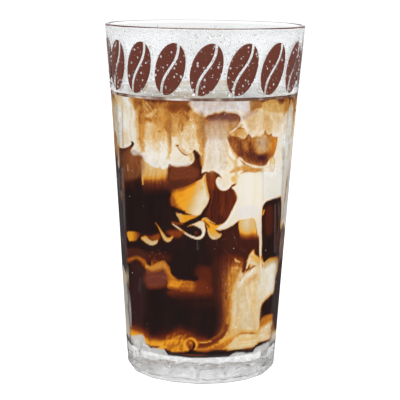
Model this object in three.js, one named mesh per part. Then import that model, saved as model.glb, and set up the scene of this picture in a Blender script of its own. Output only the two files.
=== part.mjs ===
// Iced coffee with milk in a tall faceted tumbler.
// Millimetres, +Z up, origin on the table under the middle of the glass.
// The front of the object faces -Y. Angles run from the front towards +X.
import * as THREE from 'three';

// ---------------------------------------------------------------- sizes
const HEIGHT = 150;            // rim above the table
const OUTER = [                // outer cone: [height, radius over the facet edges]
  [0, 31.86], [60, 35.74], [121, 39.93], [150, 42.45],
];
const FACETS = 17;             // flats pressed into the body
const FACET_EDGE_DEG = -2.3;   // one facet edge stands just left of the front
const FACET_FULL = 118.6;      // flats are at full depth below this height
const FACET_TOP = 121.0;       // and run out into the round band here
const HEEL_RADIAL = 5.0;       // rounding of the bottom edge, across
const HEEL_HEIGHT = 4.5;       // rounding of the bottom edge, up
const LIP = 0.85;              // radius of the fire-polished lip

const INNER = [                // round inner wall: [height, radius]
  [18, 30.0], [60, 33.0], [121, 37.55], [149.15, 40.75],
];
const FLOOR = 11.0;            // thickness of the solid foot
const FLOOR_FILLET = 7.0;      // rounding where the inner wall meets the foot

const LEVEL = 121.5;           // drink level
const GAP = 0.3;               // clearance of the drink to the glass
const LAYER_GAP = 0.4;         // upright clearance between the two layers

const MILK_MEAN = 95.5;        // mean height of the cloudy milk's underside
const MILK_LOBES = [           // billows of that underside: [count, height, phase]
  [3, 2.6, 0.7], [7, 2.4, 1.9], [13, 1.3, 0.4],
];
const PLUMES = [               // milk sinking along the wall: [angle, half width, depth]
  [44, 16, 33], [8, 10, 12], [150, 22, 20], [-128, 20, 14],
];

const GLASS_SEGMENTS = FACETS * 4;
const DRINK_SEGMENTS = FACETS * 3;

// ---------------------------------------------------------------- helpers
const rad = Math.PI / 180;

function along(table, z) {
  if (z <= table[0][0]) {
    const [a, b] = [table[0], table[1]];
    return a[1] + (b[1] - a[1]) * (z - a[0]) / (b[0] - a[0]);
  }
  for (let i = 1; i < table.length; i++) {
    const [a, b] = [table[i - 1], table[i]];
    if (z <= b[0]) return a[1] + (b[1] - a[1]) * (z - a[0]) / (b[0] - a[0]);
  }
  return table[table.length - 1][1];
}

// how far a flat lies inside the circle through the facet edges
function facetFactor(phi) {
  const step = 2 * Math.PI / FACETS;
  let d = (phi - FACET_EDGE_DEG * rad) % step;
  if (d < 0) d += step;
  return Math.cos(step / 2) / Math.cos(d - step / 2);
}

function outerRadius(phi, z, r) {
  const depth = THREE.MathUtils.clamp((FACET_TOP - z) / (FACET_TOP - FACET_FULL), 0, 1);
  return r * (1 - depth * (1 - facetFactor(phi)));
}

// inner wall with its rounded corner, down to the flat floor
const filletTop = FLOOR + FLOOR_FILLET;
function innerRadius(z) {
  if (z >= filletTop) return along(INNER, z);
  const wall = along(INNER, filletTop);
  const up = THREE.MathUtils.clamp((filletTop - z) / FLOOR_FILLET, 0, 1);
  return wall - FLOOR_FILLET * (1 - Math.sqrt(1 - up * up));
}

// A closed skin through rings of points. Each ring is a function of the angle
// that gives [radius, height]; the two ends close on the axis.
// otherDiagonal turns the split of each quad, so that two skins whose rings run
// opposite ways share one surface shape.
function ringSolid(rings, segments, firstHeight, lastHeight, phase = 0, otherDiagonal = false) {
  const pos = [0, 0, firstHeight];
  for (const ring of rings) {
    for (let i = 0; i < segments; i++) {
      const phi = phase + 2 * Math.PI * i / segments;
      const [r, z] = ring(phi);
      pos.push(r * Math.sin(phi), -r * Math.cos(phi), z);
    }
  }
  const last = pos.length / 3;
  pos.push(0, 0, lastHeight);
  const at = (k, i) => 1 + k * segments + (i % segments);
  const index = [];
  for (let i = 0; i < segments; i++) index.push(0, at(0, i + 1), at(0, i));
  for (let k = 0; k + 1 < rings.length; k++) {
    for (let i = 0; i < segments; i++) {
      const [a, b, c, d] = [at(k, i), at(k, i + 1), at(k + 1, i + 1), at(k + 1, i)];
      if (otherDiagonal) index.push(a, b, d, b, c, d);
      else index.push(a, b, c, a, c, d);
    }
  }
  for (let i = 0; i < segments; i++) index.push(last, at(rings.length - 1, i), at(rings.length - 1, i + 1));
  const g = new THREE.BufferGeometry();
  g.setAttribute('position', new THREE.Float32BufferAttribute(pos, 3));
  g.setIndex(index);
  g.computeVertexNormals();
  return g;
}

// ---------------------------------------------------------------- glass
function glassGeometry() {
  const rings = [];
  const outer = (z, r) => rings.push((phi) => [outerRadius(phi, z, r), z]);
  const heelWall = along(OUTER, HEEL_HEIGHT);
  for (let i = 0; i <= 4; i++) {
    const a = i / 4 * Math.PI / 2;
    outer(HEEL_HEIGHT * (1 - Math.cos(a)), heelWall - HEEL_RADIAL * (1 - Math.sin(a)));
  }
  for (const z of [60, FACET_FULL, FACET_TOP, HEIGHT - LIP]) outer(z, along(OUTER, z));
  const lipMiddle = along(OUTER, HEIGHT) - LIP;
  for (const deg of [45, 90, 135]) {
    outer(HEIGHT - LIP + LIP * Math.sin(deg * rad), lipMiddle + LIP * Math.cos(deg * rad));
  }
  const inner = (z, r) => rings.push(() => [r, z]);
  for (const z of [HEIGHT - LIP, 121, 60, filletTop]) inner(z, along(INNER, z));
  for (const deg of [22.5, 45, 67.5, 90]) {
    const z = filletTop - FLOOR_FILLET * Math.sin(deg * rad);
    inner(z, along(INNER, filletTop) - FLOOR_FILLET * (1 - Math.cos(deg * rad)));
  }
  return ringSolid(rings, GLASS_SEGMENTS, 0, FLOOR, FACET_EDGE_DEG * rad);
}

// ---------------------------------------------------------------- drink
function underside(phi, share) {
  let z = 0;
  for (const [count, height, phase] of MILK_LOBES) z += height * Math.cos(count * phi + phase);
  for (const [angle, half, depth] of PLUMES) {
    let d = (phi / rad - angle) % 360;
    if (d > 180) d -= 360;
    if (d < -180) d += 360;
    z -= depth * Math.exp(-((d / half) ** 2));
  }
  return MILK_MEAN + z * share ** 2;
}

const drinkRadius = (z) => innerRadius(z) - GAP;

function coffeeGeometry() {
  const rings = [];
  for (const deg of [90, 67.5, 45, 22.5, 0]) {
    const z = filletTop - FLOOR_FILLET * Math.sin(deg * rad);
    const r = along(INNER, filletTop) - FLOOR_FILLET * (1 - Math.cos(deg * rad));
    const s = Math.sin(deg * rad), c = Math.cos(deg * rad);
    rings.push(() => [r - GAP * c, z + GAP * s]);
  }
  const steps = 6;
  for (let k = 1; k <= steps; k++) {
    rings.push((phi) => {
      const z = filletTop + (underside(phi, 1) - filletTop) * k / steps;
      return [drinkRadius(z), z];
    });
  }
  const across = 7;
  for (let k = 1; k < across; k++) {
    const share = 1 - k / across;
    rings.push((phi) => [drinkRadius(underside(phi, 1)) * share, underside(phi, share)]);
  }
  return ringSolid(rings, DRINK_SEGMENTS, FLOOR + GAP, MILK_MEAN);
}

function milkGeometry() {
  const rings = [];
  const across = 7;
  for (let k = across - 1; k >= 1; k--) {
    const share = 1 - k / across;
    rings.push((phi) => [drinkRadius(underside(phi, 1)) * share, underside(phi, share) + LAYER_GAP]);
  }
  const steps = 4;
  for (let k = 0; k <= steps; k++) {
    rings.push((phi) => {
      const low = underside(phi, 1) + LAYER_GAP;
      const z = low + (LEVEL - low) * k / steps;
      return [drinkRadius(z), z];
    });
  }
  return ringSolid(rings, DRINK_SEGMENTS, MILK_MEAN + LAYER_GAP, LEVEL, 0, true);
}

// ---------------------------------------------------------------- scene graph
function piece(name, geometry, colour, roughness, extra = {}) {
  const mesh = new THREE.Mesh(geometry, new THREE.MeshStandardMaterial({
    color: colour, roughness, metalness: 0, ...extra,
  }));
  mesh.name = name;
  return mesh;
}

const group = new THREE.Group();
group.name = 'iced_coffee';
group.add(piece('glass', glassGeometry(), 0xeef2f2, 0.04, { transparent: true, opacity: 0.35 }));
group.add(piece('coffee', coffeeGeometry(), 0x2a1410, 0.15));
group.add(piece('milk', milkGeometry(), 0xece0c6, 0.3));

export default group;
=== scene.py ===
import math
import bpy
import numpy as np
from mathutils import Matrix, Vector


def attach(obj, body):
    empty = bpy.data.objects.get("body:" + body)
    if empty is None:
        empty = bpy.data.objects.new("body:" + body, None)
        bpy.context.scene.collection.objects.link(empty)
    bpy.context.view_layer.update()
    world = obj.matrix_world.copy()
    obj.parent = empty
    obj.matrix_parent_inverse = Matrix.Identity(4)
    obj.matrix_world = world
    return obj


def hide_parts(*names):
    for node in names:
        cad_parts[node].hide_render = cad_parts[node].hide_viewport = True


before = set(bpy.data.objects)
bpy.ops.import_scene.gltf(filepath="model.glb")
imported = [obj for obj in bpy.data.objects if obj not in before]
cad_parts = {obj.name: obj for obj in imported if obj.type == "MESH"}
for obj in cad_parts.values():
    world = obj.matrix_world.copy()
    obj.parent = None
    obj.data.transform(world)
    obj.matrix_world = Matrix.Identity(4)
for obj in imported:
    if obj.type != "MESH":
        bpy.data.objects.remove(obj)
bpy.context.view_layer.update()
MM = 0.001
RNG = np.random.default_rng(11)

# ------------------------------------------------------------------ sizes (mm)
OUTER = np.array([[0, 31.86], [60, 35.74], [121, 39.93], [150, 42.45]])
INNER = np.array([[18, 30.0], [60, 33.0], [121, 37.55], [149.15, 40.75]])
HEIGHT, LIP = 150.0, 0.85
FACETS, EDGE_DEG = 17, -2.3
FACET_FULL, FACET_TOP = 118.6, 121.0
HEEL_RADIAL, HEEL_HEIGHT = 5.0, 4.5
FLOOR, FILLET = 11.0, 7.0
LEVEL = 121.5


def outer_cone(z):
    return np.interp(z, OUTER[:, 0], OUTER[:, 1])


def inner_wall(z):
    """Radius of the round inner wall, with the rounded corner above the foot."""
    z = np.asarray(z, float)
    top = FLOOR + FILLET
    wall = np.interp(z, INNER[:, 0], INNER[:, 1])
    up = np.clip((top - z) / FILLET, 0, 1)
    return np.where(z >= top, wall, INNER[0, 1] - FILLET * (1 - np.sqrt(np.maximum(0, 1 - up * up))))


def facet_factor(phi, soft=0.0012):
    """Radius of the rounded polygon over the radius of the circle through its edges."""
    step = 2 * math.pi / FACETS
    d = np.mod(phi - math.radians(EDGE_DEG), step) - step / 2
    a = math.cos(step / 2)
    near = a / np.cos(d)
    left = a / np.cos(np.minimum(np.abs(d - step), 1.5))
    right = a / np.cos(np.minimum(np.abs(d + step), 1.5))
    other = np.minimum(left, right)
    least = np.minimum(near, other)
    return least - soft * np.log(np.exp((least - near) / soft) + np.exp((least - other) / soft))


def smooth(a, b, x):
    t = np.clip((x - a) / (b - a), 0, 1)
    return t * t * (3 - 2 * t)


# ------------------------------------------------------------------ mesh helper
def ring_mesh(name, P, first=None, last=None, smooth_shade=True):
    """A closed skin from P[ring, column, xyz] in mm; the ends close on a point."""
    n, m, _ = P.shape
    verts = P.reshape(-1, 3)
    extra = []
    if first is not None:
        extra.append(first)
    if last is not None:
        extra.append(last)
    if extra:
        verts = np.vstack([verts, np.array(extra, float)])
    i = np.arange(n - 1)[:, None] * m
    j = np.arange(m)[None, :]
    k = (j + 1) % m
    quads = np.stack([i + j, i + k, i + m + k, i + m + j], -1).reshape(-1, 4)
    tris = []
    jj = np.arange(m)
    kk = (jj + 1) % m
    at = n * m
    if first is not None:
        tris.append(np.stack([np.full(m, at), kk, jj], -1))
        at += 1
    if last is not None:
        base = (n - 1) * m
        tris.append(np.stack([np.full(m, at), base + jj, base + kk], -1))
    faces_t = np.concatenate(tris) if tris else np.zeros((0, 3), int)
    return raw_mesh(name, verts * MM, quads, faces_t, smooth_shade)


def raw_mesh(name, verts, quads=None, tris=None, smooth_shade=True):
    quads = np.zeros((0, 4), int) if quads is None else np.asarray(quads, int)
    tris = np.zeros((0, 3), int) if tris is None else np.asarray(tris, int)
    me = bpy.data.meshes.new(name)
    me.vertices.add(len(verts))
    me.vertices.foreach_set("co", np.asarray(verts, np.float32).ravel())
    loops = np.concatenate([quads.ravel(), tris.ravel()])
    me.loops.add(len(loops))
    me.loops.foreach_set("vertex_index", loops.astype(np.int32))
    nq, nt = len(quads), len(tris)
    me.polygons.add(nq + nt)
    starts = np.concatenate([np.arange(nq) * 4, nq * 4 + np.arange(nt) * 3])
    me.polygons.foreach_set("loop_start", starts.astype(np.int32))
    me.polygons.foreach_set("use_smooth", np.full(nq + nt, smooth_shade))
    me.update(calc_edges=True)
    me.validate()
    ob = bpy.data.objects.new(name, me)
    bpy.context.scene.collection.objects.link(ob)
    return ob


def polar(phi, r, z):
    return np.stack([r * np.sin(phi), -r * np.cos(phi), z + 0 * phi], -1)


# ------------------------------------------------------------------ materials
def material(name):
    m = bpy.data.materials.new(name)
    m.use_nodes = True
    m.node_tree.nodes.clear()
    return m, m.node_tree.nodes, m.node_tree.links


def glass_material():
    m, n, l = material("clear_glass_with_painted_light_and_shade")
    out = n.new("ShaderNodeOutputMaterial")
    g = n.new("ShaderNodeBsdfPrincipled")
    at = n.new("ShaderNodeAttribute")
    at.attribute_name = "paint"
    l.new(at.outputs["Color"], g.inputs["Base Color"])
    g.inputs["Roughness"].default_value = 0.0
    g.inputs["IOR"].default_value = 1.5
    g.inputs["Transmission Weight"].default_value = 1.0
    t = n.new("ShaderNodeBsdfTransparent")
    lp = n.new("ShaderNodeLightPath")
    mix = n.new("ShaderNodeMixShader")
    l.new(lp.outputs["Is Shadow Ray"], mix.inputs[0])
    l.new(g.outputs[0], mix.inputs[1])
    l.new(t.outputs[0], mix.inputs[2])
    l.new(mix.outputs[0], out.inputs[0])
    return m


# ------------------------------------------------------------------ glass
def make_glass():
    f = np.array([0, .012, .026, .045, .075, .13, .22, .35, .5, .65, .78, .87, .925, .955, .974, .988])
    step = 2 * math.pi / FACETS
    phi = (math.radians(EDGE_DEG) + (np.arange(FACETS)[:, None] + f[None, :]) * step).ravel()
    ff = facet_factor(phi)
    rings = []

    def outer(z, r, depth):
        dent = 0.5 * fbm(phi * 15, 0 * phi + z / 2.3, 5) * float(smooth(1.2, 2.6, z) * (1 - smooth(9.5, 12.0, z)))
        rings.append(polar(phi, r * (1 - depth * (1 - ff)) - np.abs(dent), z))

    heel = np.interp(HEEL_HEIGHT, OUTER[:, 0], OUTER[:, 1])
    for r in (5.0, 9.0, 12.0, 15.0, 18.0, 21.0, 23.0, 24.4):
        x, y = r * np.sin(phi), -r * np.cos(phi)
        rise = 0.75 + 0.6 * fbm(x / 6, y / 6, 3) + 0.16 * np.cos(FACETS * 2 * phi) * smooth(10, 20, r)
        rings.append(polar(phi, np.full_like(phi, r), np.clip(rise, 0.1, 2.0) * (1 - smooth(21.5, 24.6, r)) + 0.02))
    rings.append(polar(phi, (heel - HEEL_RADIAL - 1.2) * ff, 0.0))
    for a in np.radians(np.linspace(0, 90, 13)):
        outer(HEEL_HEIGHT * (1 - math.cos(a)), heel - HEEL_RADIAL * (1 - math.sin(a)), 1.0)
    for z in np.concatenate([np.arange(5.0, 13, 0.6), np.linspace(14, 114, 28), np.linspace(115, FACET_TOP + 0.8, 16)]):
        depth = float(1 - smooth(FACET_FULL - 1.6, FACET_TOP + 0.3, z))
        outer(z, float(outer_cone(z)), depth)
    for z in np.linspace(123, HEIGHT - LIP, 12):
        outer(z, float(outer_cone(z)), 0.0)
    mid = OUTER[-1, 1] - LIP
    for a in np.radians(np.linspace(15, 165, 11)):
        outer(HEIGHT - LIP + LIP * math.sin(a), mid + LIP * math.cos(a), 0.0)
    for z in np.concatenate([np.linspace(HEIGHT - LIP, 122, 12), np.linspace(119, FLOOR + FILLET, 24)]):
        rings.append(polar(phi, np.full_like(phi, float(np.interp(z, INNER[:, 0], INNER[:, 1]))), z))
    for a in np.radians(np.linspace(9, 90, 10)):
        z = FLOOR + FILLET * (1 - math.sin(a))
        rings.append(polar(phi, np.full_like(phi, INNER[0, 1] - FILLET * (1 - math.cos(a))), z))
    for r in (14.0, 6.0):
        rings.append(polar(phi, np.full_like(phi, r), FLOOR))
    P = np.array(rings)
    ob = ring_mesh("glass_body", P, (0, 0, 0.75), (0, 0, FLOOR))
    # clear, with the foot's thick pressed glass a mottled pale grey; the grey is darker towards the back of the heel
    # (painted shade) and lighter on the sides (painted light), with painted glints as dark marks along the facet edges
    x, y, z = P.reshape(-1, 3).T
    turn = np.arctan2(x, -y)
    tone = 0.86 + 0.30 * fbm(turn * 14, z / 2.6, 4) + 0.16 * fbm(turn * 34, z / 1.5, 8)
    # painted shade towards the back of the heel, painted light on the sides
    tone = tone - 0.2 * smooth(100, 125, np.degrees(np.abs(turn))) * (1 - smooth(4.5, 7.0, z)) + 0.08 * smooth(35, 60, np.degrees(np.abs(turn)))
    rng = np.random.default_rng(17)
    # painted glints: dark marks along the facet edges near the heel
    for k in range(FACETS):
        at = math.radians(EDGE_DEG) + k * step
        off = np.angle(np.exp(1j * (turn - at))) * 31
        tone = tone - (0.1 + 0.4 * rng.random()) * np.exp(-(off / 0.9) ** 2 - ((z - 4.2 - 4 * rng.random()) / 1.3) ** 2)
    foot = (1 - smooth(10.0, 12.5, z)) * smooth(24.0, 26.5, np.hypot(x, y))
    tone = 0.978 + (np.clip(tone, 0.42, 0.98) - 0.978) * foot
    paint_on(ob, 255 * np.stack([tone, tone + 0.003, tone + 0.005], -1) ** (1 / 2.2))
    ob.data.materials.append(glass_material())
    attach(ob, "root")
    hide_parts("glass")
    return ob


# ------------------------------------------------------------------ milk and coffee
# The picture that the drink makes on the inside of the wall is drawn with soft
# shapes in front-view coordinates. The value drawn is the depth of coffee in
# front of the milk: 0 is milk on the wall, 1 is coffee too deep to see into.
# Some shapes and tints are painted highlights, painted shade along facet edges and painted light where the glass edge
# shows; each is marked where it is drawn.
def lattice(seed, n=96):
    return np.random.default_rng(seed).random((n, n))


_LAT = [lattice(s) for s in range(40, 52)]


def vnoise(x, y, k=0):
    t = _LAT[k % len(_LAT)]
    n = t.shape[0]
    xi, yi = np.floor(x).astype(int), np.floor(y).astype(int)
    fx, fy = x - xi, y - yi
    fx, fy = fx * fx * (3 - 2 * fx), fy * fy * (3 - 2 * fy)
    a, b = t[yi % n, xi % n], t[yi % n, (xi + 1) % n]
    c, e = t[(yi + 1) % n, xi % n], t[(yi + 1) % n, (xi + 1) % n]
    return (a * (1 - fx) + b * fx) * (1 - fy) + (c * (1 - fx) + e * fx) * fy - 0.5


def fbm(x, y, k=0, octaves=4):
    s, a = 0, 1.0
    for o in range(octaves):
        s = s + a * vnoise(x * 2 ** o + 7.3 * o, y * 2 ** o - 3.1 * o, k + o)
        a *= 0.5
    return s


def spline(pts, closed, per=6):
    p = np.array(pts, float)
    n = len(p)
    out = []
    for i in range(n if closed else n - 1):
        if closed:
            a, b, c, e = p[(i - 1) % n], p[i], p[(i + 1) % n], p[(i + 2) % n]
        else:
            a, b, c, e = p[max(i - 1, 0)], p[i], p[i + 1], p[min(i + 2, n - 1)]
        for t in np.arange(per) / per:
            out.append(0.5 * (2 * b + (c - a) * t + (2 * a - 5 * b + 4 * c - e) * t * t + (3 * b - a - 3 * c + e) * t ** 3))
    if not closed:
        out.append(p[-1])
    return np.array(out)


class Canvas:
    def __init__(self, X, Y):
        self.X, self.Y = X, Y
        self.d = np.full(X.shape, 0.97)
        self.over = np.zeros(X.shape + (3,))
        self.alpha = np.zeros(X.shape)
        w1, w2 = fbm(X / 9, Y / 9, 0), fbm(X / 9 + 31, Y / 9, 3)
        self.wx, self.wy = w1, w2

    def near(self, q, margin):
        return np.where((self.X > q[:, 0].min() - margin) & (self.X < q[:, 0].max() + margin) &
                        (self.Y > q[:, 1].min() - margin) & (self.Y < q[:, 1].max() + margin))[0]

    def put(self, idx, mask, value, channel):
        if channel is None:
            v = value(self.X[idx], self.Y[idx]) if callable(value) else value
            self.d[idx] += (v - self.d[idx]) * mask
        elif channel == "add":
            self.d[idx] += value * mask
        else:
            col = np.array(channel, float)
            a = mask * value
            self.over[idx] = self.over[idx] * (1 - a[:, None]) + col * a[:, None]
            self.alpha[idx] = self.alpha[idx] * (1 - a) + a

    def fill(self, pts, value, soft=1.0, warp=0.0, tint=None, inner=None, curve=True):
        """Closed shape. soft is the half width of its edge; inner, if given, is how far the edge fades inwards."""
        q = spline(pts, True) if curve else np.array(pts, float)
        soft = soft * (0.8 if soft <= 1.2 else 1.0)
        idx = self.near(q, soft + abs(warp) + 2)
        if not len(idx):
            return
        x = self.X[idx] + warp * self.wx[idx]
        y = self.Y[idx] + warp * self.wy[idx]
        dist = np.full(len(idx), 1e9)
        inside = np.zeros(len(idx), bool)
        for a, b in zip(q, np.roll(q, -1, 0)):
            e = b - a
            t = np.clip(((x - a[0]) * e[0] + (y - a[1]) * e[1]) / max(e @ e, 1e-9), 0, 1)
            dist = np.minimum(dist, (x - a[0] - t * e[0]) ** 2 + (y - a[1] - t * e[1]) ** 2)
            cross = (a[1] > y) != (b[1] > y)
            if cross.any():
                xx = a[0] + (y - a[1]) * e[0] / (e[1] if abs(e[1]) > 1e-9 else 1e-9)
                inside ^= cross & (x < xx)
        sd = np.sqrt(dist) * np.where(inside, -1, 1)
        lo = -(inner if inner is not None else soft)
        mask = 1 - smooth(lo, soft, sd)
        self.put(idx, mask, value, tint)

    def line(self, pts, width, value, soft=0.6, warp=0.0, tint=None):
        """Open curve. width is the half width, one number or one for each point."""
        q = spline(pts, False)
        w = np.asarray(width, float)
        w = np.full(len(q), float(w)) if w.ndim == 0 else np.interp(np.linspace(0, 1, len(q)), np.linspace(0, 1, len(w)), w)
        idx = self.near(q, w.max() + soft + abs(warp) + 2)
        if not len(idx):
            return
        x = self.X[idx] + warp * self.wx[idx]
        y = self.Y[idx] + warp * self.wy[idx]
        sd = np.full(len(idx), 1e9)
        for i in range(len(q) - 1):
            a, e = q[i], q[i + 1] - q[i]
            t = np.clip(((x - a[0]) * e[0] + (y - a[1]) * e[1]) / max(e @ e, 1e-9), 0, 1)
            r = np.hypot(x - a[0] - t * e[0], y - a[1] - t * e[1]) - (w[i] + (w[i + 1] - w[i]) * t)
            sd = np.minimum(sd, r)
        self.put(idx, 1 - smooth(-soft, soft, sd), value, tint)

    def brush(self, pts, width, values, n=7, soft=0.6, vary=0.06, warp=1.0, seed=0, tint=None):
        """Many strands side by side. values run across the stroke, from its left to its right as it is drawn."""
        p = np.array(pts, float)
        t = np.gradient(p, axis=0)
        side = np.stack([-t[:, 1], t[:, 0]], -1) / np.linalg.norm(t, axis=1)[:, None]
        rng = np.random.default_rng(seed)
        w = np.broadcast_to(np.asarray(width, float), (len(p),))
        for k in range(n):
            a = -1 + 2 * (k + 0.5) / n
            v = np.interp(a, np.linspace(-1, 1, len(values)), values) + vary * (2 * rng.random() - 1)
            lean = a * w * (0.9 + 0.2 * rng.random(len(p)))
            self.line(p + side * lean[:, None], np.maximum(w / n * 1.2, 0.22), float(v), soft, warp, tint)

    def grain(self, pts, width, n, vary, seed, soft=0.7, warp=3.0):
        """Strands that lighten or darken what is there."""
        self.brush(pts, width, [0.0, 0.0], n, soft, vary, warp, seed, "add")

    def spot(self, x, y, rx, ry, value, tint=None, power=1.0):
        q = np.array([[x - rx, y - ry], [x + rx, y + ry]])
        idx = self.near(q, 2)
        if not len(idx):
            return
        g = np.exp(-(((self.X[idx] - x) / (rx * 0.6)) ** 2 + ((self.Y[idx] - y) / (ry * 0.6)) ** 2) * power)
        self.put(idx, g, value, tint)


def ramp2(axis, a, b, va, vb):
    """Value that runs from va at a to vb at b along x (0) or y (1)."""
    def f(x, y):
        t = np.clip(((x if axis == 0 else y) - a) / (b - a), 0, 1)
        return va + (vb - va) * t
    return f


def draw(X, Y, skip=()):
    c = Canvas(X, Y)
    # deep coffee, a little uneven
    c.d += 0.05 * fbm(X / 14, Y / 40, 2) - 0.01
    c.fill([(166, 160), (203, 158), (203, 188), (186, 186), (168, 190)], 0.80, 5)
    c.fill([(120, 150), (142, 150), (142, 186), (132, 190), (121, 184)], ramp2(1, 160, 188, 0.68, 0.93), 4)
    c.fill([(119, 148), (126, 148), (128, 184), (121, 186)], 0.84, 3)
    c.fill([(203, 172), (213, 169), (238, 188), (238, 202), (229, 218), (219, 225), (206, 222), (203, 212), (208, 196)], 0.80, 3, 2)
    c.line([(222.5, 190), (223, 200), (222, 212)], [1, 2.2, 3], 0.71, 2.5)
    c.line([(228, 192), (231, 204), (226, 216)], [1, 2, 1.5], 0.74, 3)
    c.fill([(206, 172), (214, 171), (218, 184), (212, 190), (206, 186)], 0.70, 3)
    c.fill([(222, 228), (258, 226), (259, 258), (240, 268), (226, 282), (219, 270), (216, 240)], 0.84, 7, 3)
    c.fill([(206, 236), (222, 232), (222, 262), (210, 262)], 0.88, 6)
    c.fill([(197, 272), (208, 268), (222, 272), (223, 292), (210, 298), (198, 296)], 0.79, 6, 2)
    c.fill([(182, 288), (222, 288), (223, 306), (186, 302)], 0.86, 6)
    c.fill([(128, 249), (143, 251), (142, 258), (128, 257)], 0.74, 3)
    c.fill([(145, 268), (166, 269), (166, 286), (146, 288)], 0.70, 2.5, 1.5)
    c.fill([(145, 252), (168, 254), (168, 262), (146, 262)], 0.82, 3)
    c.fill([(129, 270), (144, 270), (144, 322), (132, 326)], 0.90, 4)
    # golden pane under the milk
    if "pane" not in skip:
        c.fill([(141.3, 158), (169, 160), (168, 178), (167, 198), (141.8, 198)], lambda x, y: np.interp(y + 0.08 * (x - 154), [160, 168, 174, 177.5, 180.5, 184, 190, 197], [0.25, 0.29, 0.33, 0.42, 0.60, 0.74, 0.88, 1.0]), 1.4, 1.0, curve=False)
        c.grain([(155, 160), (155, 174), (154, 188)], 13, 13, 0.035, 3)
        c.line([(141.4, 160), (142, 172), (142.6, 184)], [1.0, 0.9, 0.5], 0.27, 0.8)
        c.line([(168.6, 164), (168.4, 180)], 1.2, 0.84, 1.6)
    # amber block with a pale right edge
    if "block" not in skip:
        blk = [(171.5, 189), (176, 188.6), (181, 188), (188, 185.2), (196, 181.8), (201.5, 178.4), (204, 174.5), (206.2, 172.6), (205, 176.5),
               (204.4, 180), (206, 187), (208.6, 194), (208.6, 199), (206.6, 204.5), (203, 209.5), (199.5, 214.2), (194, 215), (186, 213), (179, 209.4),
               (173, 206), (170.8, 200)]
        c.fill(blk, lambda x, y: np.interp(x + 0.35 * (y - 196), [170, 174, 184, 191, 197, 203, 208], [0.58, 0.49, 0.45, 0.42, 0.24, 0.12, 0.15]), 0.8, 1.0)
        c.fill([(170, 196), (174, 197), (176, 204), (182, 209), (178, 209), (171, 205)], 0.60, 2)
        c.fill([(178, 188), (188, 185), (197, 181), (196, 184), (188, 188), (180, 191)], 0.54, 1.6, 1)
        c.spot(201, 187, 3, 3, 0.34)
        c.line([(204.8, 176), (206, 186), (208.2, 196)], [0.6, 0.9, 1.0], 0.34, 1.0)
        c.fill([(175.6, 213), (179, 212.6), (184, 214.2), (192, 215), (199.6, 214.8), (197, 217.2), (191, 219.4), (184, 222.4), (181, 222), (178.6, 218)],
               lambda x, y: np.interp(x, [176, 180, 184, 198], [0.22, 0.33, 0.45, 0.47]), 0.8, 0.8)
        c.fill([(172, 206), (178, 208.6), (185.4, 211.2), (182, 213), (176, 212)], 0.95, 1.0)
        c.line([(172, 221.8), (178, 223.3), (184, 223.6)], [0.8, 1.2, 0.6], 0.62, 1.0)
        c.line([(184, 223.6), (191, 220.6), (198, 217.4), (204, 212.5), (208, 206), (210.4, 198)], [0.5, 1.0, 1.1, 1.0, 0.8, 0.4], 0.97, 0.7)
    # ---------------- milk on top
    low = [(108, 84), (109, 120), (112, 141), (116, 144), (121, 147.4), (124.5, 147.2), (127.5, 146), (130.4, 144.2), (131.2, 142.4), (130.2, 141.2), (132.4, 141.0),
           (134.0, 142.8), (132.6, 146), (130.8, 149), (131.4, 152), (133, 154), (135.2, 155.2), (137.4, 155), (139.2, 154.2), (141.2, 155), (142.2, 156.6),
           (144, 160), (147, 162.2), (150, 163.6), (152.6, 165.8), (155.5, 167), (158.6, 167.2), (160, 164.6), (161, 167.2), (164, 168.4), (167, 167),
           (168.4, 164.2), (170, 163.4), (172, 165.4), (175.4, 166.4), (178.4, 166.2), (180.2, 164.6), (182.4, 165.6), (186.4, 166), (190.4, 164.4),
           (193.6, 161.6), (194.6, 158.4), (193.6, 154.6), (192.4, 151.6), (194, 150.2), (195.6, 150.4), (198, 151.2), (200, 155), (201.6, 160), (202, 167),
           (201.2, 172.8), (203, 172.2), (206, 170.8), (209.4, 171.6), (212, 169.9), (215.6, 171.2), (219.4, 174), (222.2, 178.2), (219.6, 176.4), (217.2, 177.4),
           (215.9, 180.6), (217, 184.4), (219, 187.4), (221.6, 189.6), (225.2, 190), (228.6, 188.6), (231, 186), (233.4, 183.6), (236, 182.6), (235.4, 184.6),
           (232.2, 187.2), (234.4, 190), (236.4, 193.6), (237.2, 197.4), (236, 202.4), (233.2, 208), (231, 213), (228, 218.6), (224, 222.8), (219, 225.8),
           (214.6, 228.2), (219, 229.8), (225, 228.8), (231, 226), (236, 222.2), (239.4, 220.2), (246, 219), (252.6, 218.2), (255, 221), (256.6, 228),
           (258, 236), (258.8, 248), (259.2, 262), (259.8, 276), (262, 276), (261.6, 262), (261.6, 246), (261.4, 234), (261.0, 224), (261.4, 214),
           (262.4, 206.6), (264.4, 202.4), (268.4, 199.8), (273, 198.4), (275.6, 197.2), (274.8, 195.4), (277.4, 196.6), (278.4, 195.4), (281, 197.6),
           (281.2, 215), (280.6, 240), (284, 252), (292, 240), (300, 150), (302, 84)]
    c.fill(low, 0.10, 0.75, 0.6)
    # a pale lit rim along the lobes' undersides
    rims = [[(122, 146.4), (127, 145), (130, 143.4)], [(131.6, 150), (133.6, 153), (137, 154), (141.4, 154)],
            [(143, 157.6), (147, 161), (152.6, 164.6), (157, 166), (160, 163.6), (163, 167), (167, 165.6)],
            [(170, 162.4), (174, 165.2), (178, 165.2), (182, 164.4), (187, 164.8), (191.6, 162.4)],
            [(202.6, 170.8), (206, 169.8), (212, 168.8), (218, 172)], [(217, 179), (217.6, 183.6), (221, 188.2), (226, 188.6), (230.6, 185)],
            [(233.4, 188), (237.6, 194), (238, 199), (234.6, 207), (231, 215.6), (226, 222.6), (219, 227.4)],
            [(262.6, 204), (266, 200), (272, 197.6), (279, 196)]]
    for r in rims:
        c.line(r, [0.5, 1.3, 0.6], 0.03, 1.0)
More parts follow.
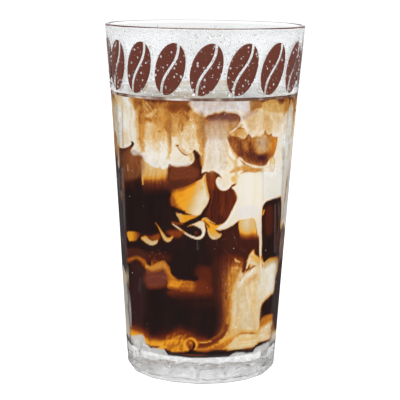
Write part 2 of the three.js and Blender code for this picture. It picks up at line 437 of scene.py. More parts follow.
    # tones inside the milk ---------------------------------------- left
    c.fill([(112, 94), (122, 94), (122, 110), (118, 116), (113, 104)], 0.20, 3, 2)
    c.fill([(123, 94.5), (131, 95), (131, 104), (127, 104)], 0.02, 1.6)
    # painted shade: a darker line along a facet edge
    c.line([(122, 112), (122.4, 130), (122.8, 146)], 0.45, 0.27, 0.8)
    c.fill([(130, 96), (141, 97), (141, 113), (136, 110)], 0.52, 2.2, 2)
    c.fill([(137, 110), (142, 110), (142, 142), (139, 142)], 0.38, 2.2, 1.5)
    # painted shade: a darker line along a facet edge
    c.line([(142, 113), (142, 128), (142, 142)], [1.2, 1.5, 0.8], 0.43, 1.4)
    c.spot(139.4, 138, 3, 4, 0.42)
    c.fill([(141, 97.5), (170, 99), (170, 114), (160, 112), (150, 113), (142, 116)], 0.53, 3, 4)
    c.fill([(142, 117), (150, 117.5), (153, 120), (148, 124), (142, 123)], 0.56, 1.8, 2)
    c.fill([(154, 110), (169, 112), (169, 138), (162, 138), (156, 126)], 0.38, 3.5, 4)
    c.fill([(144, 124), (153, 123), (156, 134), (150, 142), (145, 140)], 0.09, 3, 4)
    c.fill([(150, 132), (166, 134), (167, 150), (150, 150)], 0.17, 4, 4)
    c.spot(159, 131, 4, 2.2, 0.42)
    for a, b in [((144, 104), (149, 112)), ((149, 105), (156, 116)), ((146, 101), (151, 107)), ((152, 108), (155.4, 112))]:
        c.line([a, ((a[0] + b[0]) / 2 - 0.4, (a[1] + b[1]) / 2 + 0.3), b], [0.2, 0.5, 0.3], 0.22, 0.5)
    c.spot(155.6, 109.6, 2, 2, 0.14)
    # painted shade: a darker line along a facet edge
    c.line([(167.6, 104), (167.4, 120), (168.4, 136), (169.6, 152)], [1.8, 2.0, 1.4, 0.8], 0.50, 1.8, 1)
    c.spot(169.6, 149, 2.4, 4, 0.44)
    # middle left
    c.fill([(146, 97.6), (188, 98.4), (187, 102), (164, 102), (150, 101)], 0.72, 1.6, 1)
    c.fill([(168, 101), (188, 101), (191, 112), (180, 111), (170, 112)], 0.54, 2.4, 3)
    c.fill([(170, 111), (186, 110), (201, 114), (201, 130), (190, 128), (178, 136), (171, 134)], 0.36, 3.5, 4)
    c.fill([(180, 126), (197, 122), (198, 150), (184, 152), (176, 142)], 0.15, 5, 4)
    c.line([(173, 114), (178, 116), (182, 112), (188, 118)], [0.5, 1, 0.8, 0.4], 0.46, 1.0, 3)
    c.line([(180, 117), (183, 124), (181, 131)], [0.4, 0.8, 0.3], 0.45, 1.0, 2)
    c.spot(191.4, 119.4, 2.6, 1.6, 0.16)
    c.fill([(197, 112), (201, 113), (201, 150), (199, 146), (197.4, 130)], 0.40, 2, 1)
    c.fill([(201.4, 115), (207, 116), (208, 134), (207, 148), (204, 158), (201.6, 160)], ramp2(1, 120, 160, 0.50, 0.25), 1.8, 1)
    # painted shade: a darker line along a facet edge
    c.line([(201, 116), (201.2, 135)], 0.4, 0.57, 0.6)
    c.spot(177.2, 145.2, 2.2, 1.8, 0.9)
    c.line([(177.6, 146.6), (180, 150), (183, 153), (186, 154.6), (189, 154.2), (190.6, 153)], [0.7, 0.5, 0.55, 0.6, 0.5, 0.2], 0.70, 0.5)
    c.fill([(178, 146), (186, 150), (190, 152.6), (186, 153.8), (181, 150.6)], 0.26, 1.0)
    c.fill([(188, 153), (192.6, 153), (194, 158), (192, 161), (189.6, 158)], 0.30, 1.8)
    c.line([(194.8, 150.4), (196.6, 154), (199, 160), (200.4, 168), (200.6, 174)], [1.2, 1.3, 0.9, 0.7, 1.0], 0.93, 0.6)
    # pale patch at the top with a dark blotch under it
    if "patch" not in skip:
        c.fill([(190.6, 99.4), (249.4, 98.6), (249.6, 109), (246, 112.6), (243, 115.8), (239.6, 112), (234, 110.6), (227, 111.6), (220, 110.4), (213, 112.6), (207, 114.4),
                (203.4, 116.4), (200.6, 114.6), (196.6, 112), (193, 109)], 0.07, 1.2, 2)
        c.fill([(201.6, 122), (203, 117.4), (207, 115), (213, 113.6), (221, 112.4), (228, 112.8), (234, 112.2), (238.6, 114), (241.4, 118), (242, 121.2), (238, 122.2),
                (233, 120.4), (227, 121), (222, 119), (216, 118), (210, 120), (206, 124), (203, 130)], 0.70, 1.6, 2)
        c.fill([(229, 113.6), (236, 113.6), (240, 117), (240, 120), (233, 119)], 0.84, 1.8)
        c.spot(211, 116, 5, 3, 0.80)
        c.line([(236, 112.2), (240, 114.2), (242.2, 118), (242.6, 121.6)], [0.4, 0.7, 0.6, 0.3], 0.1, 0.5)
        c.fill([(208, 120), (220, 117.6), (232, 121), (236, 124), (230, 130), (222, 126), (212, 132)], 0.30, 2.6, 4)
        for k in range(7):
            x0 = 209 + 3.4 * k
            c.line([(x0, 128 + 3 * math.sin(k)), (x0 + 2.5, 122.5), (x0 + 7, 119.5 + 0.6 * k)], [0.2, 0.5, 0.2], 0.14 if k % 2 else 0.46, 0.6, 2)
        c.fill([(209, 130), (224, 126), (226, 150), (224, 168), (208, 168), (207, 150)], 0.13, 4, 3)
        c.line([(226.4, 140), (226.6, 150), (230, 157), (234, 161)], [0.3, 0.8, 0.6, 0.3], 0.30, 0.9)
        c.line([(212, 152), (218, 160), (228, 162)], [0.3, 0.7, 0.2], 0.2, 1.2, 2)
        c.line([(236, 158), (235.6, 168), (236.4, 182)], [1.0, 1.5, 1.2], 0.28, 1.4)
        c.fill([(232, 177), (238, 174), (240, 178), (237, 183), (233, 181)], 0.36, 1.6)
    # wing of golden brown
    if "wing" not in skip:
        c.fill([(227.8, 132.6), (230.6, 128), (235, 125), (240, 123.4), (243.4, 124.6), (241, 127.4), (245, 128.6), (247, 131.6), (247.4, 135), (243, 137.6), (237, 137.4),
                (231, 136), (228, 135)], lambda x, y: np.interp(y, [123, 128, 133, 137], [0.34, 0.46, 0.36, 0.24]), 0.9, 1)
        c.line([(229, 131), (233, 128.6), (238, 127.6), (243.6, 127.6)], [0.4, 0.8, 0.9, 0.3], 0.62, 0.7)
        c.line([(229, 134.6), (233, 136.2), (238, 137.6), (243, 138.4)], [0.7, 0.9, 0.8, 0.5], 0.58, 0.7)
        c.line([(228, 132), (231.4, 127.6), (236, 124.4)], [0.2, 0.5, 0.3], 0.12, 0.5)
    # tan cloud, upper right
    c.fill([(249.6, 99), (298, 96), (298, 112), (280, 113), (262, 111), (250, 110.6)], 0.37, 2.2, 4)
    c.fill([(250, 100), (262, 99.6), (262, 107), (252, 109)], 0.54, 1.8, 3)
    c.fill([(251, 97), (268, 97.4), (266, 101), (252, 101.4)], 0.72, 1.2, 1)
    c.fill([(277, 96.4), (292, 96), (293, 102), (286, 104), (279, 102)], 0.76, 1.4, 2)
    c.line([(246, 112.6), (252, 110.4), (259, 110.6)], [0.6, 1.1, 0.4], 0.60, 0.9, 1)
    c.fill([(245, 113), (262, 111.6), (282, 112), (285, 128), (280, 133), (262, 133), (247, 130)], 0.20, 2.6, 4)
    c.fill([(263, 110), (268, 110), (269, 124), (267, 131), (264, 128)], 0.31, 2.2, 2)
    c.fill([(272, 122), (284, 122), (284, 135), (272, 134.6)], 0.08, 3, 2)
    c.fill([(246, 128), (262, 130), (262, 136), (248, 134)], 0.13, 2, 1)
    c.line([(287, 101), (286.6, 112), (285.4, 126), (285, 133)], [2.0, 1.6, 1.0, 0.4], 0.50, 1.0)
    c.line([(291, 100), (291.6, 110), (292, 122)], [1.6, 1.0, 0.6], 0.33, 1.6, 2)
    # brown hollow, right
    if "hollow" not in skip:
        dome = [(227.2, 135.8), (231, 136.2), (236, 137.4), (240, 138.8), (244, 138.4), (246.6, 136), (248.6, 133.4), (250.6, 134.6), (252.2, 136.6), (256, 135.9), (261, 136.2),
                (263.4, 134.6), (265.2, 129.2), (266.2, 132.8), (268, 134.4), (270, 134), (271.6, 132.8), (272.6, 136), (276, 137), (278.2, 136.6), (277.2, 141), (276.6, 147), (275, 153),
                (272, 157.4), (268.4, 160.6), (266, 164), (262.6, 165.6), (256, 165), (250, 163.6), (245, 161), (241, 157), (237, 157.6), (233, 153), (230.4, 147), (228.6, 141)]
        c.fill(dome, 0.57, 0.7, 0.5)
        c.fill([(230, 138), (239, 140), (241, 150), (240, 156), (235, 152), (231, 145)], 0.64, 2, 1)
        c.line([(231, 147), (235, 154), (239.6, 158.6)], [0.6, 1.0, 0.6], 0.36, 0.8)
        c.line([(240.6, 140), (241, 150), (244, 158)], [0.6, 0.9, 0.5], 0.72, 1.2)
        c.fill([(256, 137), (270, 136), (270, 152), (266, 156), (258, 152)], 0.40, 3, 1)
        c.line([(247, 138), (250, 146), (252, 154)], [0.8, 1.4, 0.8], 0.66, 2.0)
        c.fill([(271, 138), (277, 137.6), (276, 148), (273.4, 155), (271, 152)], 0.50, 1.2)
        c.fill([(246, 152), (256, 153), (262, 154), (268, 153), (268, 159), (265, 163.4), (258, 163), (250, 160.6)], 0.70, 2.6, 1)
        c.spot(261, 157.4, 5, 3.4, 0.86)
        c.line([(239, 157), (243, 161.6), (249, 164.8), (256, 166.6), (264, 166.8), (268, 163)], [0.5, 0.8, 0.9, 0.9, 0.7, 0.3], 0.16, 0.7)
        c.line([(240, 159.4), (245, 164), (251, 166.4)], [0.3, 0.7, 0.3], 0.62, 0.6)
        c.fill([(242, 164), (250, 166.6), (260, 168), (270, 165), (270, 171), (256, 171.4), (246, 172)], 0.36, 1.2, 1)
        c.line([(247, 167), (253, 168.6), (259, 168.4)], [0.3, 0.9, 0.4], 0.47, 0.7)
        c.line([(240.6, 173), (245, 171.4), (250, 170.2), (255, 169.4)], [0.5, 0.8, 0.9, 0.5], 0.52, 0.7)
        c.line([(272, 156.4), (270.4, 162), (270.8, 168.4), (272.6, 170.6), (274.4, 166), (274.6, 160), (273, 156.4)], 0.55, 0.40, 0.7)
    # milk stream to the right and its tail
    c.fill([(238, 176), (262, 174), (262, 200), (258, 216), (240, 218), (238, 200)], 0.07, 4, 2)
    c.fill([(238.4, 222.4), (241, 220.4), (246, 219.4), (252.4, 218.6), (254.8, 221.4), (256.4, 229), (258, 240), (250, 241), (242, 240), (239, 231)],
           lambda x, y: np.clip(np.interp(y, [219, 226, 231, 235, 240], [0.25, 0.26, 0.38, 0.56, 0.83]) + np.interp(x, [239, 243, 247, 252, 256], [0.14, 0.0, -0.12, 0.12, 0.06]) * np.interp(y, [219, 236], [1, 0.3]), 0, 1), 0.8, 0.6)
    c.line([(239.4, 220.6), (246, 219.4), (252.4, 218.6)], [0.3, 0.4, 0.3], 0.34, 0.5)
    # leaf-shaped loop and curls in the middle
    if "loop" not in skip:
        c.line([(172, 223.4), (176, 226.2), (182, 230.6), (188, 234.6), (194, 237.2), (199, 237.6), (202.4, 235), (203.8, 230), (203.2, 225), (203.4, 221.6)],
               [0.4, 0.7, 0.8, 0.9, 1.1, 1.3, 1.5, 1.5, 1.2, 0.8], 0.06, 0.55)
        c.fill([(187, 226.6), (191, 224.6), (196, 222.6), (201, 220), (203, 222), (203, 228), (202, 232), (200.4, 228.6), (196.6, 225.8), (192, 225.2)], 0.13, 0.7, 0.5)
        c.fill([(190, 227.4), (194, 226.4), (198, 228.4), (200.2, 232.4), (198.4, 235), (194, 233)], 0.93, 0.8)
        c.spot(196.4, 232.6, 3, 2.2, 0.70)
        c.fill([(200.6, 219.4), (203, 218), (206.6, 219), (210, 222), (216, 224.8), (222, 224), (218, 227), (216, 229.4), (217.2, 231.4), (219.4, 233.2), (221.8, 233.4), (220.6, 236.6),
                (216.6, 238.8), (212.4, 238.2), (209.6, 235.2), (208.4, 231), (206.4, 226.4), (204, 222.4)], lambda x, y: np.clip(np.interp(y, [219, 225, 232, 238], [0.42, 0.46, 0.42, 0.24]) - 0.004 * (x - 212), 0.1, 1), 0.8, 0.5)
        c.line([(207.6, 230), (209.8, 235.4), (213, 238), (217, 238)], [0.4, 0.8, 0.9, 0.4], 0.14, 0.6)
        c.spot(218.6, 231.8, 1.6, 1.4, 0.85)
        c.line([(203.6, 220.6), (207, 224), (209.6, 227.4)], [0.3, 0.6, 0.3], 0.88, 0.5)
        c.line([(201.4, 219.2), (205, 217.8), (210, 221), (215, 223.6)], [0.3, 0.7, 0.6, 0.3], 0.30, 0.5)
    # amber flecks, left
    if "flecks" not in skip:
        c.fill([(127, 232.6), (130, 231.4), (136, 231.8), (141, 233), (139.6, 237), (136.4, 240.4), (131, 241), (128.2, 239.8)], lambda x, y: np.interp(x, [127, 132, 137, 141], [0.42, 0.45, 0.58, 0.75]), 1.0, 1)
        c.fill([(143, 235), (150, 236), (159, 233), (160, 239), (152, 240)], 0.62, 1.8, 1)
        c.fill([(141.6, 238.2), (143.4, 236), (146, 236.6), (149, 239.4), (153, 240.6), (158, 239.8), (156.8, 243), (153, 245), (149.4, 244.8), (145.4, 242.6)],
               lambda x, y: np.interp(y, [236, 240, 244], [0.40, 0.28, 0.20]), 0.7, 0.6)
        c.fill([(166, 231), (174, 229), (184, 231), (180, 237), (172, 237)], 0.66, 2.4, 1.5)
        c.line([(155.4, 222.6), (158.4, 226.6), (161, 231), (163.4, 235), (166, 238.6), (169, 239.4), (172.4, 236.6)], [0.3, 0.5, 1.0, 1.7, 2.2, 1.9, 0.6], 0.37, 0.8)
        c.line([(161.8, 233), (164.4, 237.2), (167.4, 240.4), (170.4, 239.8)], [0.3, 0.7, 0.9, 0.4], 0.22, 0.6)
    # wavy amber band
    if "band" not in skip:
        c.fill([(127, 249), (143, 250), (144, 258), (128, 259)], 0.79, 2.6, 1.5)
        c.fill([(130.4, 262.6), (136, 261.4), (142, 262), (143, 269), (131, 269)], 0.87, 2.0)
        c.fill([(199, 268), (208, 266), (222, 270), (223, 290), (210, 297), (199, 293)], 0.76, 6.0, 3)
        c.fill([(169, 290), (198, 289), (222, 289), (222, 301), (196, 302), (172, 299)], ramp2(1, 290, 302, 0.69, 0.94), 2.6, 1.5)
        c.fill([(147, 270), (166, 270), (167, 284), (150, 288), (145, 284)], 0.79, 5.0, 3)
        c.grain([(147, 278), (156, 277), (167, 278)], 9, 12, 0.025, 28, 0.7, 6)
        c.brush([(127, 261.4), (131, 260), (134.6, 258.4), (139, 258.2), (142.4, 260), (144.4, 264), (146.4, 267.6)], [2.4, 2.8, 2.6, 2.6, 2.6, 2.4, 2.4], [0.70, 0.52, 0.46, 0.48, 0.56, 0.72], 7, 1.0, 0.05, 2, 4)
        c.brush([(144.8, 266.4), (149, 268.4), (154, 267.8), (159, 266.2), (163, 265.8), (166, 267.6), (168, 272.4), (170.6, 277.4), (175, 281.8), (180, 284)], [2.4, 3.4, 4.0, 4.2, 4.0, 3.4, 3.2, 3.8, 4.6, 5.0],
                [0.62, 0.50, 0.43, 0.45, 0.47, 0.55, 0.68], 9, 0.8, 0.05, 2, 5)
        for k in range(11):
            x0 = 151.6 + 1.4 * k + 0.5 * math.sin(5 * k)
            c.line([(x0, 266.4), (x0 - 0.3, 263.4 - 0.6 * math.sin(3 * k)), (x0 - 0.9, 260.8 - 1.8 * math.sin(7 * k))], [0.5, 0.4, 0.15], 0.52, 0.5)
        c.brush([(169, 283), (177, 284.6), (188, 285.4), (199, 286)], [4.6, 5.6, 5.2, 4.4], [0.58, 0.47, 0.50, 0.44, 0.46, 0.55, 0.66], 9, 1.1, 0.018, 2.5, 6)
        c.fill([(196, 281), (204, 280), (208, 290), (196, 292)], 0.71, 3.6, 2)
        c.fill([(170.5, 272), (175, 276.6), (184, 279.2), (197, 280.4), (197, 276), (184, 272), (174, 264)], 0.96, 0.9)
        rng = np.random.default_rng(31)
        for u, v, k in rng.random((60, 3)):
            c.spot(146 + 21 * u, 260.6 + 11 * v + 2.5 * abs(u - 0.6), 0.35 + 0.4 * k, 0.35 + 0.3 * k, 0.30 + 0.34 * k)
    # column of milk, lower right
    if "column" not in skip:
        def curtain(x, y):
            across = x - np.interp(y, [300, 325, 335, 343, 349], [0, -1, -6, -15, -23])
            deep = np.interp(y, [262, 296, 314], [0.84, 0.85, 0.96])
            t = np.interp(across, [216.5, 221.5, 225.5, 229, 232, 236.5], [0.0, 0.18, 0.42, 0.66, 0.86, 1.0])
            return deep + (0.30 - deep) * t + np.interp(y, [254, 262, 272, 288, 328, 346], [0.46, 0.34, 0.14, 0, 0, 0.06]) * t
        c.fill([(212, 262), (224, 255), (236, 254), (243, 258), (244, 268), (240, 282), (237, 300), (237, 330), (232, 342), (224, 350), (196, 350.6), (197, 342), (206, 338), (212, 326), (213, 300)], curtain, 1.8, 2.5)
        c.grain([(227, 258), (226.4, 280), (227, 300), (227, 318), (224.4, 334), (216, 344), (203, 347)], [8, 6.4, 5.6, 5.6, 5.2, 4.2, 2.6], 17, 0.065, 27, 0.6, 3)
        c.fill([(232, 268), (240, 267), (241, 280), (235, 284), (231, 280)], 0.46, 3.0, 2)
        col = [(232, 300), (232.6, 290), (235.6, 283), (239.6, 279), (242, 272), (245, 266), (247, 259.6), (249.6, 254), (253.6, 250), (255, 254), (258.6, 258), (259.8, 266), (261, 272),
               (263.6, 264.6), (268, 260), (274.6, 257.4), (278.6, 258), (279, 263), (277.4, 272), (275, 282), (273.2, 292), (269, 298), (263.6, 302.6), (260.6, 309.4), (259.6, 317), (260, 325),
               (258.6, 330), (257.6, 338), (240, 337), (234, 330), (232, 316)]
        c.fill(col, 0.25, 1.5, 1.4)
        c.brush([(249, 264), (244.6, 274), (240, 286), (239.4, 300), (240.6, 316), (241, 331)], [2.6, 4.2, 5.6, 6.6, 7.2, 7.4], [0.36, 0.32, 0.22, 0.28, 0.31, 0.23, 0.29, 0.20, 0.30], 13, 1.2, 0.035, 4, 10)
        c.brush([(258, 266), (256, 282), (252, 297), (250, 312), (250, 331)], [2.6, 5.0, 7.0, 7.4, 7.6], [0.16, 0.22, 0.30, 0.20, 0.26, 0.17, 0.22], 11, 1.2, 0.03, 4, 11)
        c.fill([(262, 268), (268, 262), (277, 260), (276, 272), (273, 286), (268, 296), (260, 300), (257, 290), (260, 278)], 0.12, 2.4, 1)
        c.fill([(261, 256), (276, 252), (279, 259), (270, 260), (263, 266)], ramp2(1, 254, 263, 0.80, 0.24), 1.6, 1)
        c.fill([(244, 262), (248, 262), (250, 268), (246, 272), (242, 272)], 0.78, 1.4, 1)
        c.line([(239, 286), (244, 279), (250, 272.6), (255, 268.6)], [1.4, 1.8, 1.2, 0.4], 0.12, 1.6, 2)
        c.line([(247, 268), (249, 260), (252.4, 252)], [0.8, 1.2, 0.3], 0.14, 0.8, 1)
        c.line([(250, 269), (253.6, 266.4), (257, 265)], [0.4, 0.8, 0.5], 0.60, 0.7)
        c.line([(250, 256), (254.6, 258), (257.4, 263)], [0.5, 1.0, 0.6], 0.40, 0.9, 1)
        c.line([(249, 262), (254, 263), (257.4, 266)], [0.3, 0.7, 0.3], 0.12, 0.6)
        c.line([(250, 270), (254, 266)], [0.3, 0.5], 0.66, 0.5)
        c.fill([(247, 280), (252, 275), (256.6, 273), (255.4, 281), (250, 286), (246.6, 284.6)], 0.34, 2.2, 2)
        c.line([(240, 281), (243.6, 275), (246, 270)], [0.5, 0.8, 0.4], 0.45, 0.8)
        c.line([(240, 262), (236, 260.6), (235, 258.8)], [0.5, 1.0, 0.5], 0.24, 0.6)
        c.line([(241, 269.4), (236, 267.4), (232, 268.4)], [0.3, 0.7, 0.4], 0.34, 0.7)
        for k, (x0, y0, dx, dv) in enumerate([(240, 290, 6, 0.25), (246, 296, 8, 0.17), (243, 306, 9, 0.25), (250, 310, -7, 0.16), (238, 318, 4, 0.27), (252, 322, -9, 0.25), (246, 326, 6, 0.16)]):
            c.line([(x0, y0), (x0 + dx * 0.4, y0 + 4), (x0 + dx, y0 + 10)], [0.4, 1.8, 0.5], dv, 1.8, 3)
        c.line([(236.6, 310), (236.4, 321)], 0.7, 0.34, 1.2)
    # dark bay on the right edge
    if "column" not in skip:
        c.fill([(281.4, 268), (278, 276), (275.4, 288), (272.6, 297), (266, 303), (261.6, 309), (260.4, 318), (261, 326), (266, 322), (272, 316), (273.6, 320), (272.6, 328), (276, 323), (279, 320), (283, 290)], 0.95, 0.9, 0.6)
        c.fill([(262, 317.6), (267, 314.6), (272.6, 314), (273, 318), (268, 321.6), (262.6, 325.4), (260.6, 329), (260, 322)], 0.55, 1.3, 1)
        c.line([(263, 321), (268, 318.6), (272.6, 316)], [0.4, 0.8, 0.5], 0.42, 0.7)
        c.fill([(258, 331), (264, 325.6), (272.6, 320), (272.4, 330), (271, 338), (262, 342), (256, 340)], 0.22, 1.4, 1)
        c.line([(259, 330), (265, 324.6), (272, 319.4)], [0.5, 1.2, 0.5], 0.42, 0.9)
    # dark oval, right
    if "oval" not in skip:
        c.fill([(262, 230), (262.6, 214), (263.4, 206.8), (266, 202.6), (271, 200.2), (276, 198.8), (280.4, 199), (280.6, 215), (279.6, 234), (278.6, 250), (276.6, 256), (270, 257.4), (263.6, 262), (262.4, 250)], 0.95, 0.7, 0.4)
        c.fill([(265, 209), (273, 207), (274, 230), (268, 236), (264.6, 228)], 0.80, 3)
        c.line([(264, 210), (262.6, 214)], 0.8, 0.4, 0.8)
        # painted highlights: two paler lines along facet edges in the dark oval
        c.line([(276.2, 204), (276.4, 230), (276, 250)], 0.35, 0.72, 0.6)
        c.line([(278.8, 204), (278.8, 236)], 0.4, 0.84, 0.5)
    # fringe of light along the foot
    edge = [(129, 327), (137, 326), (144, 333), (152, 338), (166, 338), (178, 333), (190, 335), (204, 340)]
    c.line(edge, [4, 5, 6, 6, 6, 7, 6, 4], 0.82, 5.0, 3)
    c.line([(x, y + 3) for x, y in edge], [2, 3, 4, 4, 4, 5, 4, 3], 0.66, 3.2, 2)
    c.fill([(131, 327), (137.6, 327.8), (143, 331), (145.4, 336), (150, 339.4), (158, 340.6), (168, 339.4), (168, 350), (150, 350), (140, 344), (130, 338)], lambda x, y: np.interp(y - np.interp(x, [131, 143, 150, 168], [328, 332, 340, 340]), [0, 2.6, 5.4], [0.66, 0.50, 0.42]), 1.6, 1)
    c.fill([(167, 342), (170, 337.6), (176, 336.4), (182, 335), (188, 338), (190, 345), (188, 352), (170, 352)], 0.46, 1.8, 2)
    c.fill([(170, 331), (178, 329), (186, 331), (188, 340), (176, 341), (168, 341)], 0.70, 3.0, 4)
    c.brush([(166, 349), (171, 344.6), (176, 340.4), (181, 336)], [3.4, 4.0, 3.6, 1.6], [0.46, 0.52, 0.46, 0.55, 0.52, 0.64], 9, 1.7, 0.05, 3, 29)
    for k in range(10):
        x0 = 164 + 1.7 * k + 0.6 * math.sin(4 * k)
        top = 336.6 - 3.4 * math.sin(0.35 * k + 0.3) - 1.3 * math.sin(5 * k)
        c.line([(x0, 345), (x0 + 2.6, 340.4), (x0 + 3.6 + 0.9 * math.sin(3 * k), top)], [0.5, 0.6, 0.2], 0.54 + 0.04 * (k % 3), 0.9, 3)
    c.brush([(180, 350), (182, 345), (183, 340), (186, 335)], [2.0, 2.4, 2.0, 0.8], [0.44, 0.58, 0.46, 0.62], 5, 0.8, 0.04, 2, 30)
    c.fill([(198, 341), (210, 341), (219, 343), (223, 348), (214, 351), (198, 351)], 0.64, 2.6, 2)
    c.brush([(227, 324), (223.6, 332), (218, 338.6), (209, 342.6), (197, 345)], [1.6, 2.6, 3.0, 2.8, 1.8], [0.84, 0.70, 0.80, 0.64, 0.76, 0.60, 0.70], 9, 1.0, 0.05, 2, 47)
    c.line([(185.4, 341), (188, 339.2), (192, 338.8), (195.6, 341), (197, 344.6), (196, 348.6), (193.4, 350.2)], [0.6, 0.9, 1.2, 1.3, 1.2, 1.0, 0.5], 0.45, 0.8)
    c.line([(185.4, 340.6), (183.8, 344), (185.4, 347.8), (188.2, 350.2)], [0.5, 0.7, 0.6, 0.4], 0.38, 0.6)
    c.fill([(187, 342), (191.6, 341.2), (193.6, 345), (191.8, 349.4), (188.8, 349), (186.8, 345.6)], 0.60, 1.1)
    c.spot(190.4, 347.2, 2.2, 2.6, 0.76)
    c.spot(190.8, 343, 2.2, 1.8, 0.46)
    c.line([(198, 342), (204, 342.6), (211, 341.4)], [0.3, 0.6, 0.3], 0.36, 0.6)
    c.line([(196, 350.4), (202, 350), (210, 348.8), (218, 349), (226, 346.4), (232, 341)], [0.6, 0.8, 0.6, 0.8, 1.1, 0.8], 0.42, 0.8, 1)
    c.fill([(230, 340), (235, 336), (258, 336.4), (257, 345), (248, 349), (232, 350.6), (227, 350)], 0.24, 2.4, 1.2)
    c.brush([(234, 334), (229.6, 340), (222, 346), (211, 349), (198, 350.4)], [1.8, 2.6, 2.6, 2.0, 1.2], [0.64, 0.54, 0.60, 0.44, 0.54, 0.40], 8, 0.9, 0.05, 2, 48)
    c.fill([(232, 329), (256, 330), (260, 326), (259, 334), (246, 333.4), (236, 335.6), (230, 338)], 0.36, 1.4, 1)
    c.line([(236, 335.6), (242, 333.6), (250, 333.2), (256, 334)], [0.5, 1.0, 1.2, 0.5], 0.53, 0.8)
    # dark line where the wall turns into the foot
    c.line([(145.4, 344.4), (149, 346.6), (153, 347.4), (159, 347.6)], [0.5, 1.2, 1.1, 0.3], 0.97, 0.6)
    c.line([(165, 349.4), (169, 352.6), (174, 355), (186, 356), (204, 356.4), (222, 356), (229, 353.2), (236, 350.8), (243, 350.8), (248, 352.4), (252.4, 350.8), (254.6, 347.4), (260, 344.4), (268, 342)],
           [0.4, 1.2, 2.0, 2.6, 2.8, 2.6, 1.8, 0.9, 1.0, 1.4, 1.0, 0.7, 1.2, 0.8], 0.985, 0.7)
    # painted highlight: a thin brown line inside the dark line
    c.line([(178, 355.4), (192, 356), (206, 356.2)], [0.2, 0.5, 0.2], 0.66, 0.5)
    # ---------------- warmer cloud, upper left, and the mauve fold beside it
    c.fill([(141, 114), (169, 114), (170, 140), (160, 150), (142, 146)], 0.07, 4, 5, tint="add")
    c.fill([(171, 99), (187, 99), (190, 108), (180, 112), (171, 111)], 0.10, 2.4, 3, tint="add")
    c.fill([(146, 142), (166, 144), (166, 160), (150, 158)], -0.05, 4, 3, tint="add")
    c.fill([(174, 128), (196, 126), (196, 144), (178, 144)], 0.05, 4, 3, tint="add")
    c.fill([(170, 100), (186, 100), (200, 112), (201, 136), (186, 140), (171, 132)], 0.07, 4, 5, tint="add")
    c.fill([(203, 116), (220, 113), (236, 114), (236, 126), (227, 136), (210, 138), (203, 128)], lambda x, y: np.interp(y, [113, 118, 126, 138], [0.62, 0.60, 0.42, 0.24]), 2.6, 4)
    c.fill([(283.6, 100), (288.4, 99), (288, 112), (286.6, 124), (285, 131), (284, 131)], 0.46, 1.2, 1)
    c.line([(237, 113), (240.8, 117), (240.2, 122), (235.6, 128), (229.6, 132.8)], [0.3, 0.6, 0.6, 0.5, 0.3], 0.12, 0.6, 1)
    c.line([(234.8, 115), (238.4, 118.6), (237.4, 123), (232.6, 128.4)], [0.3, 0.9, 0.8, 0.3], 0.58, 0.8, 1)
    # painted shade: darker lines along three facet edges
    c.line([(144, 104), (143.4, 126), (142.8, 150)], [1.6, 2.2, 1.4], 0.45, 2.4, 2)
    c.line([(168.8, 114), (168.4, 136), (168.2, 158)], [0.8, 1.4, 0.9], 0.42, 2.0, 1.5)
    c.line([(201.4, 114), (201.6, 140), (202, 164)], [1.2, 1.8, 1.2], 0.46, 2.4, 1.5)
    # ---------------- strands
    c.grain([(155, 100), (154, 115), (153, 132), (155, 150), (157, 166)], [13, 13, 12, 12, 11], 26, 0.045, 12, 0.6, 8)
    c.grain([(186, 101), (181, 118), (186, 138), (187, 160)], [14, 15, 14, 12], 26, 0.05, 13, 0.6, 8)
    c.grain([(131, 97), (132, 115), (132, 135), (133, 150)], 9, 12, 0.05, 14, 0.7, 5)
    c.grain([(207, 168), (209, 148), (212, 132), (220, 123), (234, 119)], [5, 7, 7, 5, 3], 14, 0.075, 15, 0.6, 5)
    c.grain([(222, 170), (222, 150), (221, 134)], [8, 9, 8], 12, 0.05, 16, 0.8, 5)
    c.grain([(264, 99), (263, 115), (265, 133)], 17, 28, 0.04, 17, 0.6, 6)
    c.grain([(252, 137), (250, 148), (255, 163)], [22, 20, 12], 22, 0.05, 18)
    c.grain([(174, 208), (188, 199), (205, 186)], [9, 13, 9], 14, 0.03, 19)
    c.grain([(223, 174), (221, 196), (216, 222)], [12, 14, 10], 16, 0.045, 20)
    c.grain([(250, 174), (250, 196), (247, 217)], [11, 11, 9], 10, 0.02, 21, 1.2)
    c.grain([(268, 262), (267, 280), (262, 300)], [8, 8, 5], 10, 0.04, 22)
    c.grain([(132, 152), (132, 168), (133, 186)], 9, 9, 0.05, 23)
    c.grain([(240, 342), (250, 341), (264, 335)], [7, 6, 5], 9, 0.07, 24, 0.7, 2)
    c.grain([(150, 343), (166, 344), (182, 345)], 5, 7, 0.06, 25, 0.7, 3)
    c.grain([(180, 332), (178, 340), (176, 350)], 12, 14, 0.035, 26, 0.7, 5)
